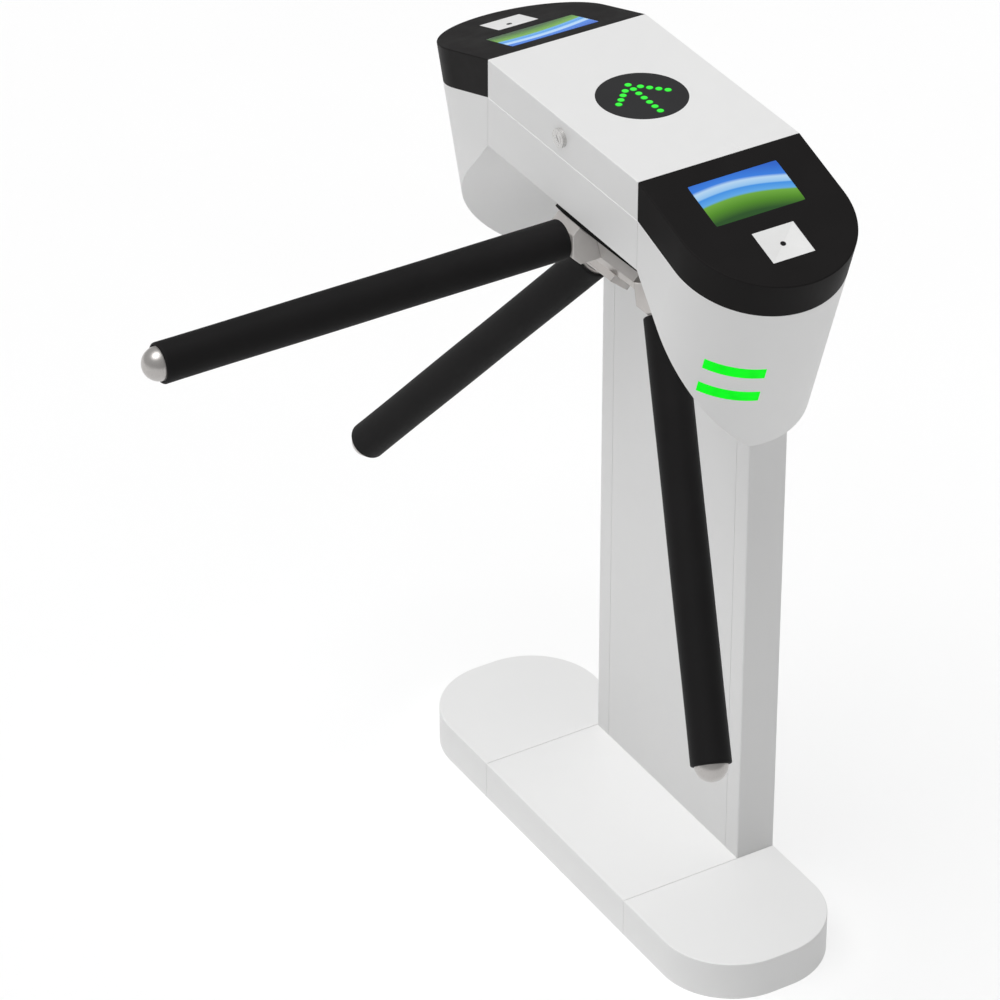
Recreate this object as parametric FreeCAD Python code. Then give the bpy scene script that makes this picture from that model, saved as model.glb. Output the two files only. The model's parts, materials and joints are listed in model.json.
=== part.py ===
"""Visitor counter turnstile: rounded floor base, flat column, long head and a tripod hub with padded arms.

Millimetres, +Z up. The origin is the centre of the base's underside. X runs along the passage, from the
rear end of the head (-X) to the front end (+X), and the arms reach out on the -Y side.
Two local frames are used. The hub frame has its Z along the hub's axis, outwards and down, and its Y in the
slanted face, upwards. The end frame has its Z square to a sloping head end and its X down the slope.
"""
import FreeCAD, Part
import math
import os

from FreeCAD import Vector, Rotation, Placement

# ---- overall sizes ----
TOTAL_HEIGHT = 1000.0
SEAM_X = 153.7              # half the length of the straight middle: column ends and base seams
SHEET = 2.0                 # wall of the folded steel sheet
JOIN_GAP = 0.5              # gap between neighbouring covers

# ---- base ----
BASE_WIDTH = 205.0
BASE_HEIGHT = 49.0
BASE_END_STRAIGHT = 86.0    # straight run of an end cover, before its rounded corners
BASE_FLAT = 25.0            # flat left between the two rounded corners of an end
BASE_WALL = 2.5
BASE_ROUND = 1.2            # rounded top edge of the covers
PLATE_THICK = 8.0
ANCHOR_X = 250.0            # floor anchors, half spacing
ANCHOR_Y = 60.0
ANCHOR_HOLE = 7.0
CABLE_ENTRY = 20.0          # radius of the floor cable entry
POST_RADIUS = 8.0
POST_Y = 40.0
POST_FROM_SEAM = 25.0       # first pair of posts, from the seam
POST_SPACING = 121.0        # and on to the second pair
FOOT_GAP = 4.0              # pedestal inside the column's outline
FOOT_WALL = 4.0
FOOT_TOP = 6.0

# ---- column ----
COLUMN_DEPTH = 50.0
COLUMN_ROUND = 2.0          # bend radius of its upright edges
COLUMN_OVERRUN = 5.0        # column into the head, before it is cut to fit
PANEL_MARGIN = 25.0         # column face left on each side of the service panel
LIP = 12.0                  # return behind the panel's edges
FLANGE_THICK = 4.0
FLANGE_BOLT = 4.0           # radius of the bolts at both ends of the column
BOLT_HEAD = 7.0             # radius over the corners of their heads and nuts
BOLT_HEAD_THICK = 6.0
BOLT_NUT_THICK = 5.0
BOLT_X = (-120.0, -60.0, 60.0, 120.0)

# ---- head ----
HEAD_WIDTH = 203.2
HEAD_OVERHANG = 1.8         # head beyond the column's far face
HEAD_STRAIGHT = 154.0       # half the length of the level middle
LID_HEIGHT = 47.0
SIDE_DEPTH = 107.6          # near side, from the top down to its lower edge
END_SLOPE = 17.9            # degrees, fall of a head end towards its tip
END_STRAIGHT = 90.6         # straight run of an end, measured down the slope
END_DEPTH = 254.0           # depth of an end, square to its slope
CHEEK_FALL_X = 1.23         # an end's slanted cheek: its fall per unit outwards
CHEEK_FALL_Y = 0.82         # and per unit towards the column
CAP_WALL = 3.0
CAP_ROUND = 1.5
SIDE_ROUND = 2.0            # bend radius of the near side's lower edge
RIM_BEVEL = 0.9             # bevel of the head's upper rim, below the lid and caps
GROOVE_WIDTH = 0.6          # seams between the head's middle and its ends
GROOVE_DEPTH = 0.7
GROMMET_HOLE = 11.0
GROMMET_LIP = 4.0

# ---- light bars, in the end frame ----
BAR_FROM = -53.5            # degrees around an end's half-round, from its tip
BAR_TO = -15.0
BAR_HEIGHT = 14.0
BAR_TOPS = (128.3, 164.0)   # depth of each light bar below the sloping top
BAR_THICK = 3.0
BAR_PROUD = 0.3

# ---- displays and code readers, in the end frame ----
DISPLAY_AT = 55.7           # centre of the display, down the slope
DISPLAY_LENGTH = 62.6       # down the slope
DISPLAY_WIDTH = 113.0
DISPLAY_MODULE = 6.0        # thickness of the module behind the cap
READER_AT = 131.0
READER_LENGTH = 45.0
READER_WIDTH = 52.0
READER_EDGE = 1.0           # flat rim around the reader's dish
READER_DISH = 2.2           # depth of the reader's shallow pyramid
READER_MODULE = 10.0
EYE_RADIUS = 3.2
EYE_PROUD = 0.6
RIM = 5.0                   # flange behind the cap around a display or reader
PANE_SUNK = 0.2             # panes and readers below the cap's surface

# ---- lid, direction indicator, lock and hinge ----
LID_ROUND = 1.2
DISC_RADIUS = 51.0
DISC_THICK = 3.0
DISC_SUNK = 0.1
DOT_RADIUS = 4.4
ARROW_TIP = -28.4           # centre of the arrow's first dot
SHAFT_DOTS = 7              # the tip is the first of them
DOT_PITCH = 10.9
BARB_DOTS = 4
BARB_FIRST = 9.7            # from the tip, along X and along Y
BARB_PITCH = 7.2
DOT_PROUD = 0.3
BOARD_RADIUS = 56.0
BOARD_THICK = 1.6
HINGE_RADIUS = 3.0
HINGE_PIN = 1.4
LEAF_THICK = 1.2
LEAF_HEIGHT = 22.0
LEAF_GAP = 0.8              # between a leaf and the other leaf's knuckles
KNUCKLES = 9
KNUCKLE_GAP = 0.3
HINGE_END = 4.0             # hinge short of the lid at both ends
LOCK_RING = 11.0
LOCK_BODY = 9.0
LOCK_NUT = 13.0
LOCK_NUT_THICK = 4.0
LOCK_PLUG = 6.5
LOCK_PROUD = 5.0
LOCK_RISE = 2.0             # lock above the middle of the lid's side
LOCK_LENGTH = 24.0
PLUG_PROUD = 0.2
KEY_HALF_WIDTH = 0.7
KEY_HALF_HEIGHT = 4.2
KEY_DEPTH = 15.0
KEY_LEAN = 37.0             # slot's lean from upright when locked
CAM_LENGTH = 34.0
CAM_HALF = 7.0
KEEPER_FROM = 20.0          # X of the keeper's near edge
KEEPER_WIDTH = 14.0
KEEPER_GAP = 0.6            # between the turning cam and the keeper
KEEPER_FOOT = 24.0          # height of its weld strip on the near side

# ---- hub, arms and mechanism, in the hub frame ----
AXIS_TILT = 45.0
FACE_TO_APEX = 54.5         # from the slanted face back to the point where the arm axes meet
EDGE_TO_AXIS = 112.3        # from the near side's lower edge down the slanted face to the axis
ARMS = 3
HUB_OPENING = 97.0
SHROUD_RADIUS = 94.0
SHROUD_GAP = 1.0            # shroud below the slanted face
SHROUD_STEP = 88.0          # radius of its raised middle, which the ears sit on
HUB_BACK = 60.0
HUB_FRONT = 92.0
EAR_RADIUS = 92.0
EAR_HALF_WIDTH = 22.0
EAR_CHIN = 57.0             # from the axis to the top of an ear's slanted chin
EAR_RELIEF = 60.0           # and to the foot of the slanted relief behind its root
EAR_TIP_GAP = 0.3           # ear's pointed root clear of the web's flat
SEAT_DISTANCE = 116.0       # from the apex to an arm's seat, along the arm
WEB_FRONT = 79.0
NOSE_FRONT = 87.5
NOSE_CORNER = 42.6
HUB_BOSS_WALL = 12.0        # wall of the hub's boss around the shaft
BOSS_GAP = 1.5              # between the boss and the chassis
SHAFT_INTO_HUB = 15.0
EDGE_ROUND = 1.2
TUBE_RADIUS = 19.0
TUBE_WALL = 2.0
SLEEVE_THICK = 3.5
SLEEVE_START = 117.0
ARM_END = 611.0             # where the tube ends and the dome begins, from the apex
SPIGOT_RADIUS = 12.0
SPIGOT_INTO_EAR = 16.0
SPIGOT_INTO_TUBE = 45.0
DOME_PLUG = 20.0
GRUB_RADIUS = 4.0
GRUB_SUNK = 0.5
SHAFT_RADIUS = 12.5
RUN_CLEAR = 0.05            # radial clearance of a running fit
BEARING_RADIUS = 26.0
BEARING_WIDTH = 15.0
BEARING_SUNK = 1.0
BEARING_SHOULDER = 4.0
COLLAR_HEIGHT = 3.0
COLLAR_GAP = 0.5
HOUSING_RADIUS = 34.0
HOUSING_FLANGE = 50.0
HOUSING_FLANGE_THICK = 8.0
HOUSING_BOLT_CIRCLE = 42.5
HOUSING_BOLT = 3.0
HOUSING_BOLT_HEAD = 5.0
HOUSING_BOLT_HEAD_THICK = 6.0
CHASSIS_FRONT = 49.0
CHASSIS_THICK = 5.0
CHASSIS_HALF = 120.0
CHASSIS_LOW = -84.0
CHASSIS_HIGH = 98.0
STUD_RADIUS = 4.0
STUD_X = 108.0
STUD_YS = (-72.0, 86.0)
STUD_SPACER = 9.0
STUD_TAIL = 9.0
STUD_NUT = 7.5
STUD_NUT_THICK = 6.5
HOUSING_REAR = -30.0
GEAR_MODULE = 1.5
GEAR_TEETH = 80
PINION_TEETH = 20
GEAR_REAR = -42.0
GEAR_WIDTH = 8.0
BACKLASH = 0.30             # tooth thinning at the pitch circle
DAMPER_RADIUS = 19.0
DAMPER_BORE = 14.0          # depth of the pinion's bore in the damper
PINION_SHAFT = 4.0
PINION_SHAFT_IN = 12.0      # pinion shaft inside the damper
PINION_SHAFT_OUT = 2.0
WHEEL_RADIUS = 58.0
WHEEL_REAR = -57.0
WHEEL_WIDTH = 8.0
WHEEL_SLOTS = 12
SHAFT_TAIL = 6.0            # shaft behind the slotted wheel
SLOT_WIDTH = 12.0
SLOT_DEPTH = 9.0
PAWL_PIVOT = (70.0, 45.0)
PAWL_PIN = 4.0
PAWL_BOSS = 8.0
PAWL_NOSE_GAP = 2.0
PAWL_NOSE_WIDTH = 6.0
PAWL_TAIL = 20.0
PAWL_BAR_HALF = 4.0
PIN_FRONT = 2.0             # pawl pin in front of the pawl
SOLENOID_LENGTH = 34.0
SOLENOID_HALF = 10.0
SOLENOID_GAP = 8.0          # between a solenoid and its pawl's bar
SOLENOID_FLOOR = 4.0        # wall at the closed end of its bore
PLUNGER_RADIUS = 4.0
PLUNGER_GAP = 0.5
PLUNGER_FREE = 8.0          # bore left behind a withdrawn plunger
REAR_PLATE_FRONT = -70.0
REAR_PLATE_THICK = 4.0
REAR_PLATE_LOW = -40.0
REAR_PLATE_HIGH = 86.0
PILLAR_X = 96.0
PILLAR_RADIUS = 6.0
PILLAR_IN = 9.0             # pillars in from the rear plate's edges
PLATE_EDGE = 10.0           # rear plate beyond the pillars
SENSOR_HALF = 20.0
SENSOR_THICK = 5.0

# ---- electrics on the column's far wall ----
SUPPLY_HALF = 80.0
SUPPLY_THICK = 36.0
SUPPLY_LOW = 110.0
SUPPLY_HIGH = 200.0
PCB_HALF = 70.0
PCB_LOW = 380.0
PCB_HIGH = 480.0
PCB_THICK = 1.6
PCB_SPACER = 10.0
PCB_SPACER_RADIUS = 3.0
PCB_SPACER_IN = 6.0
PCB_PARTS = ((-62, -40, 10, 90, 9), (-30, 10, 20, 60, 7), (30, 60, 15, 85, 13))

# ---- values that follow ----
BASE_CORNER = (BASE_WIDTH - BASE_FLAT) / 2
COLUMN_FAR = BASE_WIDTH / 2
COLUMN_NEAR = COLUMN_FAR - COLUMN_DEPTH
COLUMN_MID = (COLUMN_FAR + COLUMN_NEAR) / 2
HEAD_FAR = COLUMN_FAR + HEAD_OVERHANG
HEAD_NEAR = HEAD_FAR - HEAD_WIDTH
HEAD_MID = (HEAD_FAR + HEAD_NEAR) / 2
END_RADIUS = HEAD_WIDTH / 2
SLOPE = math.radians(END_SLOPE)
LID_SEAM = TOTAL_HEIGHT - LID_HEIGHT
SIDE_LOW = TOTAL_HEIGHT - SIDE_DEPTH
CAP_DEPTH = LID_HEIGHT * math.cos(SLOPE)
HEAD_FLOOR = TOTAL_HEIGHT - END_DEPTH / math.cos(SLOPE)
TILT = math.radians(AXIS_TILT)
FACE_NORMAL = Vector(0, -math.sin(TILT), -math.cos(TILT))
FACE_UP = Vector(0, -math.cos(TILT), math.sin(TILT))
NEAR_EDGE = Vector(0, HEAD_NEAR, SIDE_LOW)
APEX = NEAR_EDGE - FACE_UP * EDGE_TO_AXIS - FACE_NORMAL * FACE_TO_APEX
HUB_PLACE = Placement(APEX, Rotation(Vector(1, 0, 0), 180 - AXIS_TILT))
END_PLACE = Placement(Vector(HEAD_STRAIGHT, HEAD_MID, TOTAL_HEIGHT), Rotation(Vector(0, 1, 0), END_SLOPE))
SLEEVE_RADIUS = TUBE_RADIUS + SLEEVE_THICK
EAR_SEAT = SEAT_DISTANCE * math.sqrt(2) - EAR_RADIUS
WEB_INRADIUS = EAR_HALF_WIDTH * math.sqrt(3)
EAR_TIP_Y = WEB_INRADIUS + EAR_TIP_GAP
EAR_TIP_Z = HUB_FRONT - (EAR_CHIN - EAR_TIP_Y)
HUB_BOSS = SHAFT_RADIUS + HUB_BOSS_WALL
CHASSIS_REAR = CHASSIS_FRONT - CHASSIS_THICK
FLANGE_REAR = CHASSIS_REAR - HOUSING_FLANGE_THICK
REAR_PLATE_REAR = REAR_PLATE_FRONT - REAR_PLATE_THICK
GEAR_RADIUS = GEAR_MODULE * GEAR_TEETH / 2
PINION_RADIUS = GEAR_MODULE * PINION_TEETH / 2
PINION_X = GEAR_RADIUS + PINION_RADIUS
WHEEL_FRONT = WHEEL_REAR + WHEEL_WIDTH
PLUNGER_Y = PAWL_PIVOT[1] + PAWL_TAIL - PLUNGER_RADIUS
PLUNGER_Z = WHEEL_REAR + WHEEL_WIDTH / 2
SOLENOID_END = PAWL_PIVOT[0] - PAWL_BAR_HALF - SOLENOID_GAP
LOCK_Z = LID_SEAM + LID_HEIGHT / 2 + LOCK_RISE
CAM_Y = HEAD_NEAR + LOCK_LENGTH + KEEPER_GAP
HINGE_Y = HEAD_FAR + HINGE_RADIUS + PANE_SUNK
HINGE_HALF = HEAD_STRAIGHT - HINGE_END


# ---- small helpers ----
def box(x0, x1, y0, y1, z0, z1):
    return Part.makeBox(x1 - x0, y1 - y0, z1 - z0, Vector(x0, y0, z0))


def rod(radius, x, y, z0, z1):
    """Upright cylinder from z0 to z1."""
    return Part.makeCylinder(radius, z1 - z0, Vector(x, y, z0))


def ring(outer, inner, x, y, z0, z1):
    return rod(outer, x, y, z0, z1).cut(rod(inner, x, y, z0 - 1, z1 + 1))


def prism(points, z0, z1):
    """Upright prism over a closed outline of (x, y) points."""
    corners = [Vector(x, y, z0) for x, y in points]
    wire = Part.makePolygon(corners + [corners[0]])
    return Part.Face(wire).extrude(Vector(0, 0, z1 - z0))


def hexagon(radius, x, y, z0, z1):
    points = []
    for k in range(6):
        turn = math.radians(60 * k)
        points.append((x + radius * math.cos(turn), y + radius * math.sin(turn)))
    return prism(points, z0, z1)


def fuse(shapes):
    result = shapes[0]
    for shape in shapes[1:]:
        result = result.fuse(shape)
    return result.removeSplitter()


def cut(shape, tools):
    for tool in tools:
        shape = shape.cut(tool)
    return shape


def mirrored(shape):
    """The same piece at the other end of the head or base."""
    return shape.mirror(Vector(0, 0, 0), Vector(1, 0, 0))


def placed(shape, place):
    moved = shape.copy()
    moved.Placement = place.multiply(moved.Placement)
    return moved


def in_hub(shape):
    return placed(shape, HUB_PLACE)


def in_end(shape):
    return placed(shape, END_PLACE)


def turned(shape, degrees):
    """Turn about the hub's axis, in the hub frame."""
    return placed(shape, Placement(Vector(0, 0, 0), Rotation(Vector(0, 0, 1), degrees)))


def save(name, shapes):
    """Write one node: a solid or a group of separate solids."""
    solids = []
    for shape in shapes:
        solids.extend(shape.Solids)
    result = solids[0] if len(solids) == 1 else Part.makeCompound(solids)
    result.exportStep("parts/" + name + ".step")
    print(name, len(solids), round(result.Volume / 1000, 2), "cm3", result.isValid())


# ---- outlines ----
def rounded_end(start, straight, corner, half_width, z0, z1):
    """Prism from x = start: two straight sides, then a front with rounded corners."""
    reach = straight + corner
    low = -half_width
    middle = half_width - corner
    diagonal = corner * math.sqrt(0.5)
    points = [Vector(start, low, z0), Vector(straight, low, z0), Vector(reach, -middle, z0),
              Vector(reach, middle, z0), Vector(straight, half_width, z0), Vector(start, half_width, z0)]
    lower = Vector(straight + diagonal, -middle - diagonal, z0)
    upper = Vector(straight + diagonal, middle + diagonal, z0)
    edges = [Part.LineSegment(points[0], points[1]).toShape(),
             Part.Arc(points[1], lower, points[2]).toShape()]
    if middle > 0.01:
        edges.append(Part.LineSegment(points[2], points[3]).toShape())
    edges += [Part.Arc(points[3], upper, points[4]).toShape(),
              Part.LineSegment(points[4], points[5]).toShape(),
              Part.LineSegment(points[5], points[0]).toShape()]
    return Part.Face(Part.Wire(edges)).extrude(Vector(0, 0, z1 - z0))


def base_outline(inset, z0, z1):
    """The whole base's plan, rounded at both ends."""
    straight = SEAM_X + BASE_END_STRAIGHT
    half = rounded_end(0, straight, BASE_CORNER - inset, BASE_WIDTH / 2 - inset, z0, z1)
    return fuse([half, mirrored(half)])


# ---- base ----
def base_plate():
    plate = base_outline(BASE_WALL + JOIN_GAP, 0, PLATE_THICK)
    holes = [rod(CABLE_ENTRY, 0, COLUMN_MID, -1, PLATE_THICK + 1)]
    for x in (-ANCHOR_X, ANCHOR_X):
        for y in (-ANCHOR_Y, ANCHOR_Y):
            holes.append(rod(ANCHOR_HOLE, x, y, -1, PLATE_THICK + 1))
    return cut(plate, holes)


def base_cover():
    """Cover over the whole base, as one shell that is open below."""
    outer = base_outline(0, 0, BASE_HEIGHT)
    rim = []
    for edge in outer.Edges:
        if min(vertex.Z for vertex in edge.Vertexes) > BASE_HEIGHT - 0.01:
            rim.append(edge)
    outer = outer.makeFillet(BASE_ROUND, rim)
    shell = outer.cut(base_outline(BASE_WALL, -1, BASE_HEIGHT - BASE_WALL))
    return shell.cut(rod(CABLE_ENTRY, 0, COLUMN_MID, BASE_HEIGHT / 2, BASE_HEIGHT + 1))


def base_centre_cover():
    half = SEAM_X - JOIN_GAP / 2
    middle = base_cover().common(box(-half, half, -BASE_WIDTH, BASE_WIDTH, -1, BASE_HEIGHT + 1))
    return cut(middle, bolt_holes(FLANGE_BOLT, BASE_HEIGHT - BASE_WALL - 1, BASE_HEIGHT + 1))


def base_front_cover():
    start = SEAM_X + JOIN_GAP / 2
    end = SEAM_X + BASE_END_STRAIGHT + BASE_WIDTH
    return base_cover().common(box(start, end, -BASE_WIDTH, BASE_WIDTH, -1, 2 * BASE_HEIGHT))


def cover_posts():
    """Posts between the floor plate and the end covers."""
    posts = []
    first = SEAM_X + POST_FROM_SEAM
    for x in (first, first + POST_SPACING):
        for y in (-POST_Y, POST_Y):
            posts.append(rod(POST_RADIUS, x, y, PLATE_THICK, BASE_HEIGHT - BASE_WALL))
    return posts + [mirrored(post) for post in posts]


def bolt_holes(radius, z0, z1):
    return [rod(radius, x, COLUMN_MID, z0, z1) for x in BOLT_X]


def column_foot():
    """Pedestal on the floor plate that carries the column through the cover."""
    top = BASE_HEIGHT - BASE_WALL
    half = SEAM_X - FOOT_GAP
    near = COLUMN_NEAR + FOOT_GAP
    far = COLUMN_FAR - FOOT_GAP
    block = box(-half, half, near, far, PLATE_THICK, top)
    hollow = box(-half + FOOT_WALL, half - FOOT_WALL, near + FOOT_WALL, far - FOOT_WALL,
                 PLATE_THICK - 1, top - FOOT_TOP)
    entry = rod(CABLE_ENTRY, 0, COLUMN_MID, 0, top + 1)
    return cut(block, [hollow, entry] + bolt_holes(FLANGE_BOLT, 0, top + 1))


def through_bolt(x, low, high):
    """Hexagon bolt and its nut, gripping everything between two heights."""
    shank = rod(FLANGE_BOLT, x, COLUMN_MID, low, high)
    head = hexagon(BOLT_HEAD, x, COLUMN_MID, low - BOLT_HEAD_THICK, low)
    nut = hexagon(BOLT_HEAD, x, COLUMN_MID, high, high + BOLT_NUT_THICK)
    return fuse([shank, head, nut])


def foot_bolts():
    low = BASE_HEIGHT - BASE_WALL - FOOT_TOP
    return [through_bolt(x, low, BASE_HEIGHT + FLANGE_THICK) for x in BOLT_X]


# ---- column ----
def head_solid(inset, lid_seam, end_top):
    """The head below its lid and caps, as a full solid that is smaller all round by inset."""
    near = HEAD_NEAR + inset
    far = HEAD_FAR - inset
    middle = box(-HEAD_STRAIGHT, HEAD_STRAIGHT, near, far, HEAD_FLOOR + inset, lid_seam)
    end = in_end(rounded_end(-END_DEPTH, END_STRAIGHT, END_RADIUS - inset, END_RADIUS - inset,
                             -END_DEPTH + inset, -end_top))
    end = end.common(box(HEAD_STRAIGHT - 1, 3 * HEAD_STRAIGHT, 2 * HEAD_NEAR, 2 * HEAD_FAR, 0, lid_seam))
    block = fuse([middle, end, mirrored(end)])
    return block.cut(underside(inset))


def below_plane(point, upward, shift):
    """A large block under a plane, raised by shift along the plane's normal."""
    size = 1200.0
    block = box(-size, size, -size, size, -size, 0)
    turn = Rotation(Vector(0, 0, 1), upward)
    normal = Vector(upward).normalize()
    return placed(block, Placement(point + normal * shift, turn))


def underside(inset):
    """What is cut away under the head: below the slanted face and below both end cheeks."""
    face = below_plane(NEAR_EDGE, FACE_NORMAL * -1, inset)
    corner = Vector(HEAD_STRAIGHT, HEAD_NEAR, SIDE_LOW)
    cheek = below_plane(corner, Vector(CHEEK_FALL_X, CHEEK_FALL_Y, 1), inset)
    return face.common(cheek).common(mirrored(cheek))


def column_block(inset, z0, z1):
    half = SEAM_X - inset
    return box(-half, half, COLUMN_NEAR + inset, COLUMN_FAR - inset, z0, z1)


def column_top():
    """Where the column's near side meets the slanted face, or the head's floor, and a little more."""
    meeting = SIDE_LOW - (COLUMN_NEAR - HEAD_NEAR) * math.tan(TILT)
    return max(meeting, HEAD_FLOOR) + COLUMN_OVERRUN


def column_shell():
    block = column_block(0, BASE_HEIGHT, column_top())
    corners = [edge for edge in block.Edges if abs(edge.Vertexes[0].Z - edge.Vertexes[-1].Z) > 1]
    outer = block.makeFillet(COLUMN_ROUND, corners).cut(head_solid(0, LID_SEAM, CAP_DEPTH))
    inner = column_block(SHEET, BASE_HEIGHT + FLANGE_THICK, HEAD_FLOOR - FLANGE_THICK)
    half = SEAM_X - PANEL_MARGIN
    window = box(-half, half, COLUMN_NEAR - 1, COLUMN_NEAR + SHEET, BASE_HEIGHT, column_top() + 1)
    shell = cut(outer, [inner, window])
    lips = []
    for side in (-1, 1):
        x = sorted((side * (half - LIP), side * (half + LIP)))
        lip = box(x[0], x[1], COLUMN_NEAR + SHEET, COLUMN_NEAR + 2 * SHEET, BASE_HEIGHT, HEAD_FLOOR - 1)
        lips.append(lip)
    shell = fuse([shell] + lips)
    holes = bolt_holes(FLANGE_BOLT, BASE_HEIGHT - 1, HEAD_FLOOR + 1)
    holes.append(rod(CABLE_ENTRY, 0, COLUMN_MID, BASE_HEIGHT - 1, BASE_HEIGHT + FLANGE_THICK + 1))
    holes.append(rod(GROMMET_HOLE, 0, COLUMN_MID, HEAD_FLOOR - FLANGE_THICK - 1, HEAD_FLOOR + 1))
    return cut(shell, holes)


def column_panel():
    half = SEAM_X - PANEL_MARGIN - JOIN_GAP
    sheet = box(-half, half, COLUMN_NEAR, COLUMN_NEAR + SHEET, BASE_HEIGHT + JOIN_GAP, column_top())
    return sheet.cut(head_solid(-JOIN_GAP, LID_SEAM, CAP_DEPTH))


# ---- head body ----
def light_bar(top):
    """One light bar: a sector of a ring, let into the half-round wall."""
    origin = Vector(0, 0, 0)
    up = Vector(0, 0, 1)
    sector = Part.makeCylinder(END_RADIUS + BAR_PROUD, BAR_HEIGHT, origin, up, BAR_TO - BAR_FROM)
    inner = rod(END_RADIUS - BAR_THICK, 0, 0, -1, BAR_HEIGHT + 1)
    bar = turned(sector.cut(inner), BAR_FROM)
    return in_end(placed(bar, Placement(Vector(END_STRAIGHT, 0, -top - BAR_HEIGHT), Rotation())))


def light_bars():
    return [light_bar(top) for top in BAR_TOPS]


def upper_rim(outer):
    """Outer edges of the head's top faces, without those along the hinge or across the head."""
    rim = []
    for face in outer.Faces:
        if face.normalAt(0, 0).z < math.cos(SLOPE) - 0.01 or face.CenterOfMass.z < LID_SEAM - END_DEPTH / 2:
            continue
        for edge in face.Edges:
            middle = edge.CenterOfMass
            across = abs(edge.Vertexes[0].X - edge.Vertexes[-1].X) < 0.01
            hinge = abs(middle.y - HEAD_FAR) < 0.01 and abs(middle.x) < HEAD_STRAIGHT
            if not across and not hinge:
                rim.append(edge)
    return rim


def head_body():
    outer = head_solid(0, LID_SEAM, CAP_DEPTH)
    bend = []
    for edge in outer.Edges:
        middle = edge.CenterOfMass
        if abs(middle.y - HEAD_NEAR) < 0.01 and abs(middle.z - SIDE_LOW) < 0.01:
            bend.append(edge)
    outer = outer.makeFillet(SIDE_ROUND, bend)
    outer = outer.makeChamfer(RIM_BEVEL, upper_rim(outer))
    shell = outer.cut(head_solid(SHEET, LID_SEAM + SHEET, 0))
    bars = light_bars()
    tools = bars + [mirrored(bar) for bar in bars]
    tools.append(in_hub(rod(HUB_OPENING, 0, 0, FACE_TO_APEX - 3 * SHEET, FACE_TO_APEX + 3 * SHEET)))
    tools += bolt_holes(FLANGE_BOLT, HEAD_FLOOR - 1, HEAD_FLOOR + SHEET + 1)
    tools.append(rod(GROMMET_HOLE, 0, COLUMN_MID, HEAD_FLOOR - 1, HEAD_FLOOR + SHEET + 1))
    return fuse([cut(shell, tools + seam_grooves()), lock_keeper()])


def seam_grooves():
    """Fine upright seams where the head's middle meets its ends, on both long sides."""
    grooves = []
    for x in (-HEAD_STRAIGHT, HEAD_STRAIGHT):
        x0 = x - GROOVE_WIDTH / 2
        x1 = x + GROOVE_WIDTH / 2
        grooves.append(box(x0, x1, HEAD_NEAR - 1, HEAD_NEAR + GROOVE_DEPTH, SIDE_LOW, LID_SEAM + 1))
        grooves.append(box(x0, x1, HEAD_FAR - GROOVE_DEPTH, HEAD_FAR + 1, HEAD_FLOOR, LID_SEAM + 1))
    return grooves


def lock_keeper():
    """Bracket on the near side with a tab over the lock's cam, once the cam is turned along X."""
    x0 = KEEPER_FROM
    x1 = KEEPER_FROM + KEEPER_WIDTH
    wall = HEAD_NEAR + SHEET
    post = CAM_Y + SHEET + KEEPER_GAP
    low = LID_SEAM - KEEPER_FOOT
    tab = LOCK_Z + CAM_HALF + KEEPER_GAP
    parts = [box(x0, x1, wall, wall + SHEET, low, LID_SEAM - SHEET),
             box(x0, x1, wall, post + SHEET, low, low + SHEET),
             box(x0, x1, post, post + SHEET, low, tab + SHEET),
             box(x0, x1, CAM_Y - SHEET, post + SHEET, tab, tab + SHEET)]
    return fuse(parts)


def head_bolts():
    return [through_bolt(x, HEAD_FLOOR - FLANGE_THICK, HEAD_FLOOR + SHEET) for x in BOLT_X]


def cable_grommet():
    """Rubber ring in the hole between column and head."""
    low = HEAD_FLOOR - FLANGE_THICK
    high = HEAD_FLOOR + SHEET
    lip = GROMMET_HOLE + GROMMET_LIP
    body = fuse([rod(GROMMET_HOLE, 0, COLUMN_MID, low, high),
                 rod(lip, 0, COLUMN_MID, high, high + GROMMET_LIP),
                 rod(lip, 0, COLUMN_MID, low - GROMMET_LIP, low)])
    bore = rod(GROMMET_HOLE - GROMMET_LIP, 0, COLUMN_MID, low - 2 * GROMMET_LIP, high + 2 * GROMMET_LIP)
    return body.cut(bore)


# ---- caps, displays and code readers ----
def centred(middle, length, width, z0, z1):
    """Block on the sloping end, centred across it."""
    return box(middle - length / 2, middle + length / 2, -width / 2, width / 2, z0, z1)


def front_cap():
    outer = rounded_end(-CAP_DEPTH, END_STRAIGHT, END_RADIUS, END_RADIUS, -CAP_DEPTH, 0)
    rim = []
    for edge in outer.Edges:
        low = min(vertex.Z for vertex in edge.Vertexes)
        if low > -0.01 and edge.BoundBox.XMax > 0:
            rim.append(edge)
    outer = outer.makeFillet(CAP_ROUND, rim)
    inner = rounded_end(-2 * CAP_DEPTH, END_STRAIGHT, END_RADIUS - CAP_WALL, END_RADIUS - CAP_WALL,
                        -2 * CAP_DEPTH, -CAP_WALL)
    face = HEAD_STRAIGHT + JOIN_GAP / 2
    end_half = box(face, 3 * HEAD_STRAIGHT, 2 * HEAD_NEAR, 2 * HEAD_FAR, 0, TOTAL_HEIGHT + 1)
    inner_half = box(face + CAP_WALL, 3 * HEAD_STRAIGHT, 2 * HEAD_NEAR, 2 * HEAD_FAR, 0, TOTAL_HEIGHT + 1)
    cap = in_end(outer).common(end_half).cut(in_end(inner).common(inner_half))
    windows = [centred(DISPLAY_AT, DISPLAY_LENGTH, DISPLAY_WIDTH, -2 * CAP_WALL, 1),
               centred(READER_AT, READER_LENGTH, READER_WIDTH, -2 * CAP_WALL, 1)]
    return cut(cap, [in_end(window) for window in windows])


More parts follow.
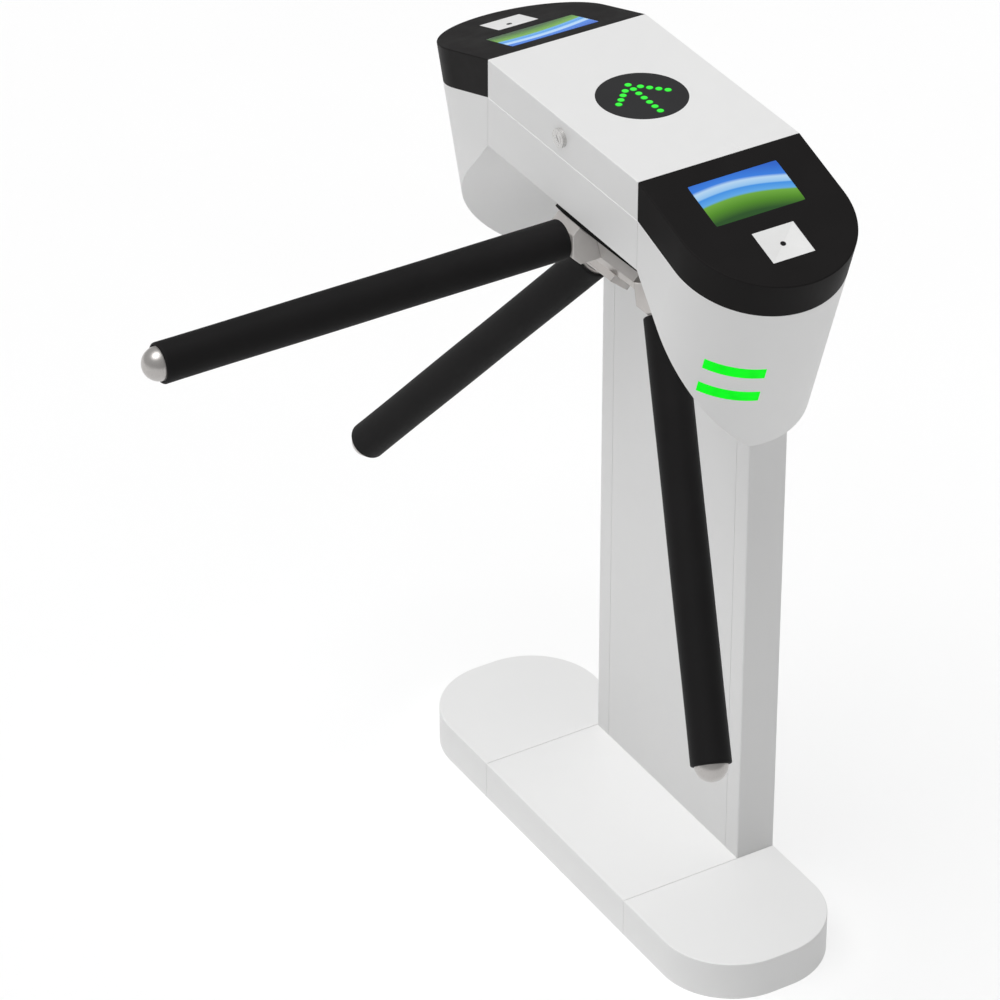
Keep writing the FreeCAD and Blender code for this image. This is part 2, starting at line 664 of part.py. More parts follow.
def front_display():
    pane = centred(DISPLAY_AT, DISPLAY_LENGTH, DISPLAY_WIDTH, -CAP_WALL, -PANE_SUNK)
    module = centred(DISPLAY_AT, DISPLAY_LENGTH + 2 * RIM, DISPLAY_WIDTH + 2 * RIM,
                     -CAP_WALL - DISPLAY_MODULE, -CAP_WALL)
    return in_end(fuse([pane, module]))


def front_reader():
    """White plate with a shallow four-sided dish and a hole for its eye."""
    plate = centred(READER_AT, READER_LENGTH, READER_WIDTH, -CAP_WALL, -PANE_SUNK)
    back = centred(READER_AT, READER_LENGTH + 2 * RIM, READER_WIDTH + 2 * RIM,
                   -CAP_WALL - READER_MODULE, -CAP_WALL)
    half_length = READER_LENGTH / 2 - READER_EDGE
    half_width = READER_WIDTH / 2 - READER_EDGE
    corners = []
    for x, y in ((-1, -1), (1, -1), (1, 1), (-1, 1)):
        corners.append(Vector(READER_AT + x * half_length, y * half_width, -PANE_SUNK))
    tip = Vector(READER_AT, 0, -PANE_SUNK - READER_DISH)
    faces = [Part.Face(Part.makePolygon(corners + [corners[0]]))]
    for k in range(4):
        faces.append(Part.Face(Part.makePolygon([corners[k], corners[(k + 1) % 4], tip, corners[k]])))
    dish = Part.Solid(Part.Shell(faces))
    if dish.Volume < 0:
        dish.reverse()
    hole = rod(EYE_RADIUS, READER_AT, 0, -CAP_WALL - READER_MODULE - 1, 1)
    return in_end(cut(fuse([plate, back]), [dish, hole]))


def front_reader_eye():
    top = -PANE_SUNK - READER_DISH + EYE_PROUD
    return in_end(rod(EYE_RADIUS, READER_AT, 0, -CAP_WALL - READER_MODULE, top))


# ---- lid, indicator, lock and hinge ----
def along_y(radius, x, z, y0, y1):
    return Part.makeCylinder(radius, y1 - y0, Vector(x, y0, z), Vector(0, 1, 0))


def along_x(radius, y, z, x0, x1):
    return Part.makeCylinder(radius, x1 - x0, Vector(x0, y, z), Vector(1, 0, 0))


def lid():
    half = HEAD_STRAIGHT - JOIN_GAP / 2
    low = LID_SEAM + JOIN_GAP
    outer = box(-half, half, HEAD_NEAR, HEAD_FAR, low, TOTAL_HEIGHT)
    long_edges = []
    for edge in outer.Edges:
        top = min(vertex.Z for vertex in edge.Vertexes) > TOTAL_HEIGHT - 0.01
        if top and abs(edge.Vertexes[0].Y - edge.Vertexes[-1].Y) < 0.01:
            long_edges.append(edge)
    outer = outer.makeFillet(LID_ROUND, long_edges)
    inner = box(-half + SHEET, half - SHEET, HEAD_NEAR + SHEET, HEAD_FAR - SHEET,
                low - 1, TOTAL_HEIGHT - SHEET)
    tools = [inner, rod(DISC_RADIUS, 0, HEAD_MID, LID_SEAM, TOTAL_HEIGHT + 1),
             along_y(LOCK_BODY, 0, LOCK_Z, HEAD_NEAR - 1, HEAD_NEAR + SHEET + 1)]
    return cut(outer, tools)


def dot_places():
    """Arrow that points towards -X: a shaft of dots, whose first is the tip, and two barbs."""
    places = [(ARROW_TIP + k * DOT_PITCH, 0) for k in range(SHAFT_DOTS)]
    for side in (-1, 1):
        for k in range(BARB_DOTS):
            step = BARB_FIRST + k * BARB_PITCH
            places.append((ARROW_TIP + step, side * step))
    return places


def indicator_lens():
    """Dark disc, flush with the lid, on a wider flange below the sheet."""
    under = TOTAL_HEIGHT - SHEET
    disc = rod(DISC_RADIUS, 0, HEAD_MID, under, TOTAL_HEIGHT - DISC_SUNK)
    flange = rod(BOARD_RADIUS, 0, HEAD_MID, under - DISC_THICK, under)
    low = under - DISC_THICK - 1
    holes = [rod(DOT_RADIUS, x, HEAD_MID + y, low, TOTAL_HEIGHT + 1) for x, y in dot_places()]
    return cut(fuse([disc, flange]), holes)


def indicator_dots():
    low = TOTAL_HEIGHT - SHEET - DISC_THICK
    return [rod(DOT_RADIUS, x, HEAD_MID + y, low, TOTAL_HEIGHT + DOT_PROUD) for x, y in dot_places()]


def indicator_board():
    top = TOTAL_HEIGHT - SHEET - DISC_THICK
    return rod(DISC_RADIUS, 0, HEAD_MID, top - BOARD_THICK, top)


def lock_housing():
    """Lock case through the near side: a ring outside, a round body and a nut inside."""
    front = HEAD_NEAR - LOCK_PROUD
    back = HEAD_NEAR + LOCK_LENGTH
    inside = HEAD_NEAR + SHEET
    parts = [along_y(LOCK_RING, 0, LOCK_Z, front, HEAD_NEAR), along_y(LOCK_BODY, 0, LOCK_Z, front, back),
             along_y(LOCK_NUT, 0, LOCK_Z, inside, inside + LOCK_NUT_THICK)]
    return fuse(parts).cut(along_y(LOCK_PLUG + RUN_CLEAR, 0, LOCK_Z, front - 1, back + 1))


def lock_plug():
    """Turning plug with a leaning key slot."""
    front = HEAD_NEAR - LOCK_PROUD - PLUG_PROUD
    plug = along_y(LOCK_PLUG, 0, LOCK_Z, front, CAM_Y)
    slot = box(-KEY_HALF_WIDTH, KEY_HALF_WIDTH, front - 1, front + KEY_DEPTH,
               LOCK_Z - KEY_HALF_HEIGHT, LOCK_Z + KEY_HALF_HEIGHT)
    slot.rotate(Vector(0, 0, LOCK_Z), Vector(0, 1, 0), -KEY_LEAN)
    return plug.cut(slot)


def lock_cam():
    """Flat latch on the plug's inner end, with its screw. It hangs down when the lid is free."""
    arm = box(-CAM_HALF, CAM_HALF, CAM_Y, CAM_Y + SHEET, LOCK_Z - CAM_LENGTH, LOCK_Z + CAM_HALF)
    screw = along_y(CAM_HALF / 2, 0, LOCK_Z, CAM_Y + SHEET, CAM_Y + 2 * SHEET)
    return fuse([arm, screw])


def knuckle_ranges(parity):
    """X ranges of every second hinge knuckle."""
    pitch = 2 * HINGE_HALF / KNUCKLES
    ranges = []
    for k in range(parity, KNUCKLES, 2):
        start = -HINGE_HALF + k * pitch
        ranges.append((start + KNUCKLE_GAP / 2, start + pitch - KNUCKLE_GAP / 2))
    return ranges


def hinge_leaf(parity, z0, z1, link0, link1):
    """One leaf of the long hinge: a strip on the far side and its knuckles."""
    parts = [box(-HINGE_HALF, HINGE_HALF, HEAD_FAR, HEAD_FAR + LEAF_THICK, z0, z1)]
    for x0, x1 in knuckle_ranges(parity):
        parts.append(along_x(HINGE_RADIUS, HINGE_Y, LID_SEAM, x0, x1))
        parts.append(box(x0, x1, HEAD_FAR, HEAD_FAR + LEAF_THICK, link0, link1))
    return fuse(parts).cut(along_x(HINGE_PIN + RUN_CLEAR, HINGE_Y, LID_SEAM, -HEAD_STRAIGHT, HEAD_STRAIGHT))


def body_hinge_leaf():
    top = LID_SEAM - HINGE_RADIUS - LEAF_GAP
    return hinge_leaf(0, top - LEAF_HEIGHT, top, top, LID_SEAM)


def lid_hinge_leaf():
    low = LID_SEAM + HINGE_RADIUS + LEAF_GAP
    return hinge_leaf(1, low, low + LEAF_HEIGHT, LID_SEAM, low)


def hinge_pin():
    return along_x(HINGE_PIN, HINGE_Y, LID_SEAM, -HINGE_HALF, HINGE_HALF)


# ---- hub and arms, in the hub frame ----
def arm_frame(shape):
    """Tilt from the hub's axis out to the first arm."""
    return placed(shape, Placement(Vector(0, 0, 0), Rotation(Vector(1, 0, 0), -AXIS_TILT)))


def star(shape):
    """The same piece at every arm."""
    return [turned(shape, k * 360.0 / ARMS) for k in range(ARMS)]


def triangle(inradius, first, z0, z1):
    corner = 2 * inradius
    points = []
    for k in range(3):
        turn = math.radians(first + 120 * k)
        points.append((-corner * math.sin(turn), corner * math.cos(turn)))
    return prism(points, z0, z1)


def ear():
    """One arm boss: its side outline, with a pointed root, carried across its width."""
    outline = [(EAR_TIP_Y, EAR_TIP_Z), (EAR_RELIEF, HUB_BACK), (EAR_RADIUS, HUB_BACK), (EAR_RADIUS, EAR_SEAT),
               (EAR_SEAT + EAR_RADIUS - HUB_FRONT, HUB_FRONT), (EAR_CHIN, HUB_FRONT)]
    corners = [Vector(-EAR_HALF_WIDTH, y, z) for y, z in outline]
    face = Part.Face(Part.makePolygon(corners + [corners[0]]))
    solid = face.extrude(Vector(2 * EAR_HALF_WIDTH, 0, 0))
    rims = [edge for edge in solid.Edges if abs(abs(edge.CenterOfMass.x) - EAR_HALF_WIDTH) < 0.01]
    return solid.makeFillet(EDGE_ROUND, rims)


def hub_web():
    """Plate between the ears: a six-sided block, with a three-cornered front that runs into them."""
    plate = triangle(WEB_INRADIUS, 0, HUB_BACK, WEB_FRONT)
    rims = [edge for edge in plate.Edges if abs(edge.CenterOfMass.z - WEB_FRONT) < 0.01]
    plate = plate.makeChamfer(WEB_FRONT - EAR_TIP_Z, rims)
    wide = EAR_HALF_WIDTH + EAR_TIP_GAP
    corner = box(-wide, wide, WEB_INRADIUS, EAR_RADIUS, HUB_BACK - 1, EAR_TIP_Z)
    return cut(plate, star(corner))


def hub():
    boss = rod(HUB_BOSS, 0, 0, CHASSIS_FRONT + BOSS_GAP, HUB_BACK)
    body = fuse(star(ear()) + [hub_web(), boss])
    low = SEAT_DISTANCE - SPIGOT_INTO_EAR
    spigot = arm_frame(rod(SPIGOT_RADIUS, 0, 0, low, SEAT_DISTANCE + SPIGOT_INTO_EAR))
    bore = rod(SHAFT_RADIUS, 0, 0, CHASSIS_FRONT, HUB_BACK + SHAFT_INTO_HUB)
    return in_hub(cut(body, star(spigot) + star(grub_shape()) + [bore]))


def grub_shape():
    """Grub screw from the middle of an ear's outer flat down into the arm's spigot."""
    level = (HUB_BACK + EAR_SEAT) / 2
    inner = level + SPIGOT_RADIUS
    length = EAR_RADIUS - GRUB_SUNK - inner
    return Part.makeCylinder(GRUB_RADIUS, length, Vector(0, inner, level), Vector(0, 1, 0))


def arm_spigot():
    """Solid steel spigot that joins the arm's tube to its ear."""
    thin = rod(SPIGOT_RADIUS, 0, 0, SEAT_DISTANCE - SPIGOT_INTO_EAR, SEAT_DISTANCE)
    thick = rod(TUBE_RADIUS - TUBE_WALL, 0, 0, SEAT_DISTANCE, SEAT_DISTANCE + SPIGOT_INTO_TUBE)
    return arm_frame(fuse([thin, thick]))


def arm_screws():
    spigots = star(arm_spigot())
    return [in_hub(screw.cut(spigots[k])) for k, screw in enumerate(star(grub_shape()))]


def arm_tube():
    return arm_frame(ring(TUBE_RADIUS, TUBE_RADIUS - TUBE_WALL, 0, 0, SEAT_DISTANCE, ARM_END))


def arm_sleeve():
    """Foam sleeve with softly rounded ends."""
    foam = rod(SLEEVE_RADIUS, 0, 0, SLEEVE_START, ARM_END)
    rims = [edge for edge in foam.Edges if len(edge.Vertexes) == 1]
    foam = foam.makeFillet(SLEEVE_THICK - 1, rims)
    return arm_frame(foam.cut(rod(TUBE_RADIUS, 0, 0, SLEEVE_START - 1, ARM_END + 1)))


def arm_dome():
    """Polished end: a half ball on a plug inside the tube."""
    ball = Part.makeSphere(TUBE_RADIUS, Vector(0, 0, ARM_END), Vector(0, 0, 1), 0, 90, 360)
    plug = rod(TUBE_RADIUS - TUBE_WALL, 0, 0, ARM_END - DOME_PLUG, ARM_END)
    return arm_frame(fuse([ball, plug]))


def hub_nose():
    """Three-cornered plate on the hub's front."""
    return in_hub(triangle(NOSE_CORNER / 2, 60, WEB_FRONT, NOSE_FRONT))


def rotor_shroud():
    """Black disc that closes the opening in the slanted face; its raised middle carries the ears' backs."""
    front = FACE_TO_APEX - SHROUD_GAP
    disc = ring(SHROUD_RADIUS, HUB_BOSS, 0, 0, CHASSIS_FRONT + BOSS_GAP, front)
    return in_hub(fuse([disc, ring(SHROUD_STEP, HUB_BOSS, 0, 0, front, HUB_BACK)]))


# ---- mechanism, in the hub frame ----
def shaft():
    rear = rod(SHAFT_RADIUS, 0, 0, WHEEL_REAR - SHAFT_TAIL, HUB_BACK + SHAFT_INTO_HUB)
    low = HOUSING_REAR + BEARING_SUNK + BEARING_WIDTH + COLLAR_GAP
    high = CHASSIS_FRONT - BEARING_SUNK - BEARING_WIDTH - COLLAR_GAP
    return in_hub(fuse([rear, rod(SHAFT_RADIUS + COLLAR_HEIGHT, 0, 0, low, high)]))


def chassis_plate():
    plate = box(-CHASSIS_HALF, CHASSIS_HALF, CHASSIS_LOW, CHASSIS_HIGH, CHASSIS_REAR, CHASSIS_FRONT)
    tools = [rod(HOUSING_RADIUS, 0, 0, 0, CHASSIS_FRONT + 1)]
    tools += [rod(STUD_RADIUS, x, y, 0, CHASSIS_FRONT + 1) for x, y in stud_places()]
    tools += [rod(HOUSING_BOLT, x, y, 0, CHASSIS_FRONT + 1) for x, y in housing_bolt_places()]
    return in_hub(cut(plate, tools))


def stud_places():
    return [(x, y) for x in (-STUD_X, STUD_X) for y in STUD_YS]


def chassis_studs():
    """Weld studs on the slanted face, with the spacers and nuts that hold the chassis."""
    studs = []
    inner_face = FACE_TO_APEX - SHEET
    for x, y in stud_places():
        parts = [rod(STUD_RADIUS, x, y, CHASSIS_REAR - STUD_TAIL, inner_face),
                 rod(STUD_SPACER, x, y, CHASSIS_FRONT, inner_face),
                 hexagon(STUD_NUT, x, y, CHASSIS_REAR - STUD_NUT_THICK, CHASSIS_REAR)]
        studs.append(in_hub(fuse(parts)))
    return studs


def housing_bolt_places():
    places = []
    for k in range(4):
        turn = math.radians(45 + 90 * k)
        places.append((HOUSING_BOLT_CIRCLE * math.cos(turn), HOUSING_BOLT_CIRCLE * math.sin(turn)))
    return places


def bearing_housing():
    body = fuse([rod(HOUSING_RADIUS, 0, 0, HOUSING_REAR, CHASSIS_FRONT),
                 rod(HOUSING_FLANGE, 0, 0, FLANGE_REAR, CHASSIS_REAR)])
    depth = BEARING_SUNK + BEARING_WIDTH
    tools = [rod(BEARING_RADIUS, 0, 0, CHASSIS_FRONT - depth, CHASSIS_FRONT + 1),
             rod(BEARING_RADIUS, 0, 0, HOUSING_REAR - 1, HOUSING_REAR + depth),
             rod(BEARING_RADIUS - BEARING_SHOULDER, 0, 0, HOUSING_REAR, CHASSIS_FRONT)]
    tools += [rod(HOUSING_BOLT, x, y, 0, CHASSIS_FRONT + 1) for x, y in housing_bolt_places()]
    return in_hub(cut(body, tools))


def housing_bolts():
    bolts = []
    for x, y in housing_bolt_places():
        shank = rod(HOUSING_BOLT, x, y, FLANGE_REAR, CHASSIS_FRONT)
        head = rod(HOUSING_BOLT_HEAD, x, y, FLANGE_REAR - HOUSING_BOLT_HEAD_THICK, FLANGE_REAR)
        bolts.append(in_hub(fuse([shank, head])))
    return bolts


def bearings():
    rears = (CHASSIS_FRONT - BEARING_SUNK - BEARING_WIDTH, HOUSING_REAR + BEARING_SUNK)
    return [in_hub(ring(BEARING_RADIUS, SHAFT_RADIUS + RUN_CLEAR, 0, 0, z, z + BEARING_WIDTH)) for z in rears]


def involute(angle):
    return math.tan(angle) - angle


def gear_points(teeth):
    """Outline of a spur gear whose first tooth is centred on +X. Its flanks are involutes."""
    pressure = math.radians(20)
    pitch = GEAR_MODULE * teeth / 2
    base = pitch * math.cos(pressure)
    tip = pitch + GEAR_MODULE
    root = pitch - 1.25 * GEAR_MODULE
    low = max(base, root) + 0.01
    half_pitch_angle = math.pi / (2 * teeth) - BACKLASH / (2 * pitch)
    flank = []
    for k in range(4):
        radius = low + (tip - low) * k / 3
        here = half_pitch_angle + involute(pressure) - involute(math.acos(base / radius))
        flank.append((radius, here))
    points = []
    for tooth in range(teeth):
        middle = 2 * math.pi * tooth / teeth
        foot = flank[0][1]
        side = [(root, -foot)] + [(radius, -here) for radius, here in flank]
        side += [(radius, here) for radius, here in reversed(flank)] + [(root, foot)]
        points += [(radius * math.cos(middle + a), radius * math.sin(middle + a)) for radius, a in side]
    return points


def main_gear():
    gear = prism(gear_points(GEAR_TEETH), GEAR_REAR, GEAR_REAR + GEAR_WIDTH)
    return in_hub(gear.cut(rod(SHAFT_RADIUS, 0, 0, GEAR_REAR - 1, GEAR_REAR + GEAR_WIDTH + 1)))


def damper_pinion():
    """Pinion and its own short shaft. A gap between teeth faces the main gear at rest."""
    half_tooth = 180.0 / PINION_TEETH
    pinion = turned(prism(gear_points(PINION_TEETH), GEAR_REAR, GEAR_REAR + GEAR_WIDTH), 180 + half_tooth)
    pinion = placed(pinion, Placement(Vector(PINION_X, 0, 0), Rotation()))
    spindle = rod(PINION_SHAFT, PINION_X, 0, GEAR_REAR - PINION_SHAFT_OUT, HOUSING_REAR + PINION_SHAFT_IN)
    return in_hub(fuse([pinion, spindle]))


def damper():
    """Fluid damper on the chassis that slows the hub."""
    body = rod(DAMPER_RADIUS, PINION_X, 0, HOUSING_REAR, CHASSIS_REAR)
    bore = rod(PINION_SHAFT + RUN_CLEAR, PINION_X, 0, HOUSING_REAR - 1, HOUSING_REAR + DAMPER_BORE)
    return in_hub(body.cut(bore))


def lock_wheel():
    """Slotted wheel on the shaft that the pawls drop into."""
    wheel = rod(WHEEL_RADIUS, 0, 0, WHEEL_REAR, WHEEL_FRONT)
    slot = box(-SLOT_WIDTH / 2, SLOT_WIDTH / 2, WHEEL_RADIUS - SLOT_DEPTH, WHEEL_RADIUS + 1,
               WHEEL_REAR - 1, WHEEL_FRONT + 1)
    slots = [turned(slot, k * 360.0 / WHEEL_SLOTS) for k in range(WHEEL_SLOTS)]
    return in_hub(cut(wheel, slots + [rod(SHAFT_RADIUS, 0, 0, WHEEL_REAR - 1, WHEEL_FRONT + 1)]))


def front_pawl():
    """Lever beside the wheel: a nose level with the axis, a pivot and a tail."""
    x, y = PAWL_PIVOT
    half_nose = PAWL_NOSE_WIDTH / 2
    bar = box(x - PAWL_BAR_HALF, x + PAWL_BAR_HALF, -half_nose, y + PAWL_TAIL, WHEEL_REAR, WHEEL_FRONT)
    nose = box(WHEEL_RADIUS + PAWL_NOSE_GAP, x, -half_nose, half_nose, WHEEL_REAR, WHEEL_FRONT)
    lever = fuse([bar, nose, rod(PAWL_BOSS, x, y, WHEEL_REAR, WHEEL_FRONT)])
    return in_hub(lever.cut(rod(PAWL_PIN + RUN_CLEAR, x, y, WHEEL_REAR - 1, WHEEL_FRONT + 1)))


def pawl_pins():
    x, y = PAWL_PIVOT
    pin = in_hub(rod(PAWL_PIN, x, y, REAR_PLATE_FRONT, WHEEL_FRONT + PIN_FRONT))
    return [pin, mirrored(pin)]


def plunger_rod(radius, x0, x1):
    return Part.makeCylinder(radius, x1 - x0, Vector(x0, PLUNGER_Y, PLUNGER_Z), Vector(1, 0, 0))


def front_solenoid():
    """Coil case on the rear plate, with a bore that is open towards the pawl."""
    x0 = SOLENOID_END - SOLENOID_LENGTH
    low = PLUNGER_Y - PLUNGER_RADIUS
    body = box(x0, SOLENOID_END, low, low + 2 * SOLENOID_HALF, REAR_PLATE_FRONT, PLUNGER_Z + SOLENOID_HALF)
    bore = plunger_rod(PLUNGER_RADIUS + RUN_CLEAR, x0 + SOLENOID_FLOOR, SOLENOID_END + 1)
    return in_hub(body.cut(bore))


def front_plunger():
    x0 = SOLENOID_END - SOLENOID_LENGTH + PLUNGER_FREE
    return in_hub(plunger_rod(PLUNGER_RADIUS, x0, PAWL_PIVOT[0] - PAWL_BAR_HALF - PLUNGER_GAP))


def rear_mechanism_plate():
    half = PILLAR_X + PLATE_EDGE
    plate = box(-half, half, REAR_PLATE_LOW, REAR_PLATE_HIGH, REAR_PLATE_REAR, REAR_PLATE_FRONT)
    hole = rod(SHAFT_RADIUS + COLLAR_HEIGHT, 0, 0, REAR_PLATE_REAR - 1, REAR_PLATE_FRONT + 1)
    return in_hub(plate.cut(hole))


def pillars():
    """Posts between the chassis and the rear mechanism plate."""
    posts = []
    for x in (-PILLAR_X, PILLAR_X):
        for y in (REAR_PLATE_LOW + PILLAR_IN, REAR_PLATE_HIGH - PILLAR_IN):
            posts.append(in_hub(rod(PILLAR_RADIUS, x, y, REAR_PLATE_FRONT, CHASSIS_REAR)))
    return posts


def position_sensor():
    """Sensor that reads the shaft's angle from behind, over the hole in the rear plate."""
    half = SENSOR_HALF
    return in_hub(box(-half, half, -half, half, REAR_PLATE_REAR - SENSOR_THICK, REAR_PLATE_REAR))


# ---- electrics in the column ----
def power_supply():
    far = COLUMN_FAR - SHEET
    return box(-SUPPLY_HALF, SUPPLY_HALF, far - SUPPLY_THICK, far, SUPPLY_LOW, SUPPLY_HIGH)


def control_board():
    """Board with its larger components, standing on four spacers."""
    far = COLUMN_FAR - SHEET
    back = far - PCB_SPACER
    front = back - PCB_THICK
    parts = [box(-PCB_HALF, PCB_HALF, front, back, PCB_LOW, PCB_HIGH)]
    for x0, x1, z0, z1, height in PCB_PARTS:
        parts.append(box(x0, x1, front - height, front, PCB_LOW + z0, PCB_LOW + z1))
    for x in (-PCB_HALF + PCB_SPACER_IN, PCB_HALF - PCB_SPACER_IN):
        for z in (PCB_LOW + PCB_SPACER_IN, PCB_HIGH - PCB_SPACER_IN):
            parts.append(along_y(PCB_SPACER_RADIUS, x, z, back, far))
    return fuse(parts)


def main():
    os.makedirs("parts", exist_ok=True)
    save("base_plate", [base_plate()])
    save("base_centre_cover", [base_centre_cover()])
    end_cover = base_front_cover()
    save("base_front_cover", [end_cover])
    save("base_rear_cover", [mirrored(end_cover)])
    save("cover_posts", cover_posts())
    save("column_foot", [column_foot()])
    save("column_shell", [column_shell()])
    save("column_panel", [column_panel()])
    save("head_body", [head_body()])
    save("column_bolts", foot_bolts() + head_bolts())
    save("cable_grommet", [cable_grommet()])
    bars = light_bars()
    save("light_bars", bars + [mirrored(bar) for bar in bars])
    for name, make in (("cap", front_cap), ("display", front_display), ("reader", front_reader)):
        piece = make()
        save("front_" + name, [piece])
        save("rear_" + name, [mirrored(piece)])
    save("reader_eyes", [front_reader_eye(), mirrored(front_reader_eye())])
    save("lid", [lid()])
    save("indicator_lens", [indicator_lens()])
    save("indicator_dots", indicator_dots())
    save("indicator_board", [indicator_board()])
    save("lock_housing", [lock_housing()])
    save("lock_plug", [lock_plug()])
    save("lock_cam", [lock_cam()])
    save("body_hinge_leaf", [body_hinge_leaf()])
    save("lid_hinge_leaf", [lid_hinge_leaf()])
    save("hinge_pin", [hinge_pin()])
    save("hub", [hub()])
    save("hub_nose", [hub_nose()])
    save("rotor_shroud", [rotor_shroud()])
    save("shaft", [shaft()])
    save("arm_screws", arm_screws())
    save("arm_spigots", [in_hub(piece) for piece in star(arm_spigot())])
    save("arm_domes", [in_hub(piece) for piece in star(arm_dome())])
    save("arm_tubes", [in_hub(piece) for piece in star(arm_tube())])
    for k, piece in enumerate(star(arm_sleeve())):
        save("arm_sleeve_%d" % (k + 1), [in_hub(piece)])
    save("chassis_plate", [chassis_plate()])
    save("chassis_studs", chassis_studs())
    save("bearing_housing", [bearing_housing()])
    save("housing_bolts", housing_bolts())
    save("bearings", bearings())
    save("main_gear", [main_gear()])
    save("damper_pinion", [damper_pinion()])
    save("damper", [damper()])
    save("lock_wheel", [lock_wheel()])
    solenoid = front_solenoid()
    save("solenoids", [solenoid, mirrored(solenoid)])
    for name, make in (("pawl", front_pawl), ("plunger", front_plunger)):
        piece = make()
        save("front_" + name, [piece])
        save("rear_" + name, [mirrored(piece)])
    save("pawl_pins", pawl_pins())
    save("rear_mechanism_plate", [rear_mechanism_plate()])
    save("pillars", pillars())
    save("position_sensor", [position_sensor()])
    save("power_supply", [power_supply()])
    save("control_board", [control_board()])


main()
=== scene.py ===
"""Looks of the visitor counter turnstile: white powder coat, black caps, lit signs, foam arms, steel hub.

Lengths are in metres: a value in millimetres is multiplied by MM.
"""
import json
import math

import bmesh
import bpy
import numpy as np
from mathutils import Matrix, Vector


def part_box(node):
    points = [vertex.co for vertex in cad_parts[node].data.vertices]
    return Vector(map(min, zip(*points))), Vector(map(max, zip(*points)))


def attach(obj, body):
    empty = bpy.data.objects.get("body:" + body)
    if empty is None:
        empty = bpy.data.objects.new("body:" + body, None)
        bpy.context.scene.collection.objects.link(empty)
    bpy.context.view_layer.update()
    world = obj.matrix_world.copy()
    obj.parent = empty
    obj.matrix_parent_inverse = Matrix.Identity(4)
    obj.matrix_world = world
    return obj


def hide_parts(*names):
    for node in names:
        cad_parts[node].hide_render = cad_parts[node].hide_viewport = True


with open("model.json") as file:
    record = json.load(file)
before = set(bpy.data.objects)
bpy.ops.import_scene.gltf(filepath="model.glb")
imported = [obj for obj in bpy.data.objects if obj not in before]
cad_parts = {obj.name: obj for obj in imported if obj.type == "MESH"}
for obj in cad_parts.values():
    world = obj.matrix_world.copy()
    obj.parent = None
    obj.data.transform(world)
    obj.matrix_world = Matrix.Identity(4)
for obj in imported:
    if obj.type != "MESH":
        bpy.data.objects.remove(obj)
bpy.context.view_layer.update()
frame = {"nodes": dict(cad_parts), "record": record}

MM = 0.001


# ---- what the frame says ----
def joint(name):
    """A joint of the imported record, by its name."""
    for entry in frame["record"]["behaviour"]["joints"]:
        if entry["name"] == name:
            return entry
    raise ValueError("no joint named " + name)


def unit(vector):
    vector = np.asarray(vector, float)
    return vector / np.linalg.norm(vector)


LID_LOW, LID_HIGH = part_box("lid")
HEAD_MID = (LID_LOW[1] + LID_HIGH[1]) / 2
HEAD_TOP = LID_HIGH[2]
HEAD_STRAIGHT = 154 * MM            # half the length of the level middle
END_SLOPE = math.radians(17.9)      # fall of the head's ends
APEX = np.array(joint("rotor_turn")["pos_m"], float)
AXIS = unit(joint("rotor_turn")["axis"])


# ---- surfaces on a grid ----
def new_piece(name, points, faces, smooth=True):
    """Object at the origin from an array of points and a list of faces."""
    mesh = bpy.data.meshes.new(name)
    mesh.from_pydata(points.tolist(), [], faces)
    mesh.polygons.foreach_set("use_smooth", np.full(len(mesh.polygons), smooth))
    mesh.update()
    piece = bpy.data.objects.new(name, mesh)
    bpy.context.scene.collection.objects.link(piece)
    return piece


def grid_faces(rows, columns, wrap_rows, wrap_columns, start=0):
    """Four-sided faces over rows x columns points, joined round where a direction wraps."""
    i = np.arange(rows if wrap_rows else rows - 1)
    j = np.arange(columns if wrap_columns else columns - 1)
    i, j = np.meshgrid(i, j, indexing="ij")
    below = (i + 1) % rows
    beside = (j + 1) % columns
    corners = [i * columns + j, i * columns + beside, below * columns + beside, below * columns + j]
    return (np.stack(corners, axis=-1).reshape(-1, 4) + start).tolist()


def across(axis):
    """Two directions square to an axis and to each other, right-handed with it."""
    axis = unit(axis)
    near_x = abs(axis[0]) > 0.9
    side = unit(np.cross(axis, (0.0, 1.0, 0.0) if near_x else (1.0, 0.0, 0.0)))
    return side, np.cross(axis, side)


def turned_points(profile, origin, axis, segments):
    """A profile of (distance along the axis, radius) carried round the axis:
    point = origin + axis * distance + radius * (side * cos(turn) + up * sin(turn))."""
    side, up = across(axis)
    turn = np.linspace(0, 2 * math.pi, segments, endpoint=False)
    ring = np.outer(np.cos(turn), side) + np.outer(np.sin(turn), up)
    along = profile[:, 0][:, None, None] * unit(axis)
    return np.asarray(origin) + along + profile[:, 1][:, None, None] * ring


def arc(centre, radius, start, end, count):
    """Points of a circle from one angle to another, in degrees: centre + radius * (cos, sin)."""
    turn = np.radians(np.linspace(start, end, count))
    return np.stack([centre[0] + radius * np.cos(turn), centre[1] + radius * np.sin(turn)], axis=-1)


def turned_ring(name, profile, origin, axis, segments):
    """Closed profile carried round an axis: a ring, such as a sleeve or a collar."""
    points = turned_points(profile, origin, axis, segments)
    rows = len(profile)
    return new_piece(name, points.reshape(-1, 3), grid_faces(rows, segments, True, True))


def dome_parts(profile, origin, axis, segments, start):
    """Open profile carried round an axis and closed by a fan at both ends.
    Gives its points, and its faces numbered from start."""
    points = turned_points(profile, origin, axis, segments)
    rows = len(profile)
    axis = unit(axis)
    low = np.asarray(origin) + axis * profile[0, 0]
    high = np.asarray(origin) + axis * profile[-1, 0]
    faces = grid_faces(rows, segments, False, True, start)
    first = start + rows * segments
    for k in range(segments):
        after = (k + 1) % segments
        faces.append([start + after, start + k, first])
        faces.append([start + (rows - 1) * segments + k, start + (rows - 1) * segments + after, first + 1])
    return np.vstack([points.reshape(-1, 3), low, high]), faces


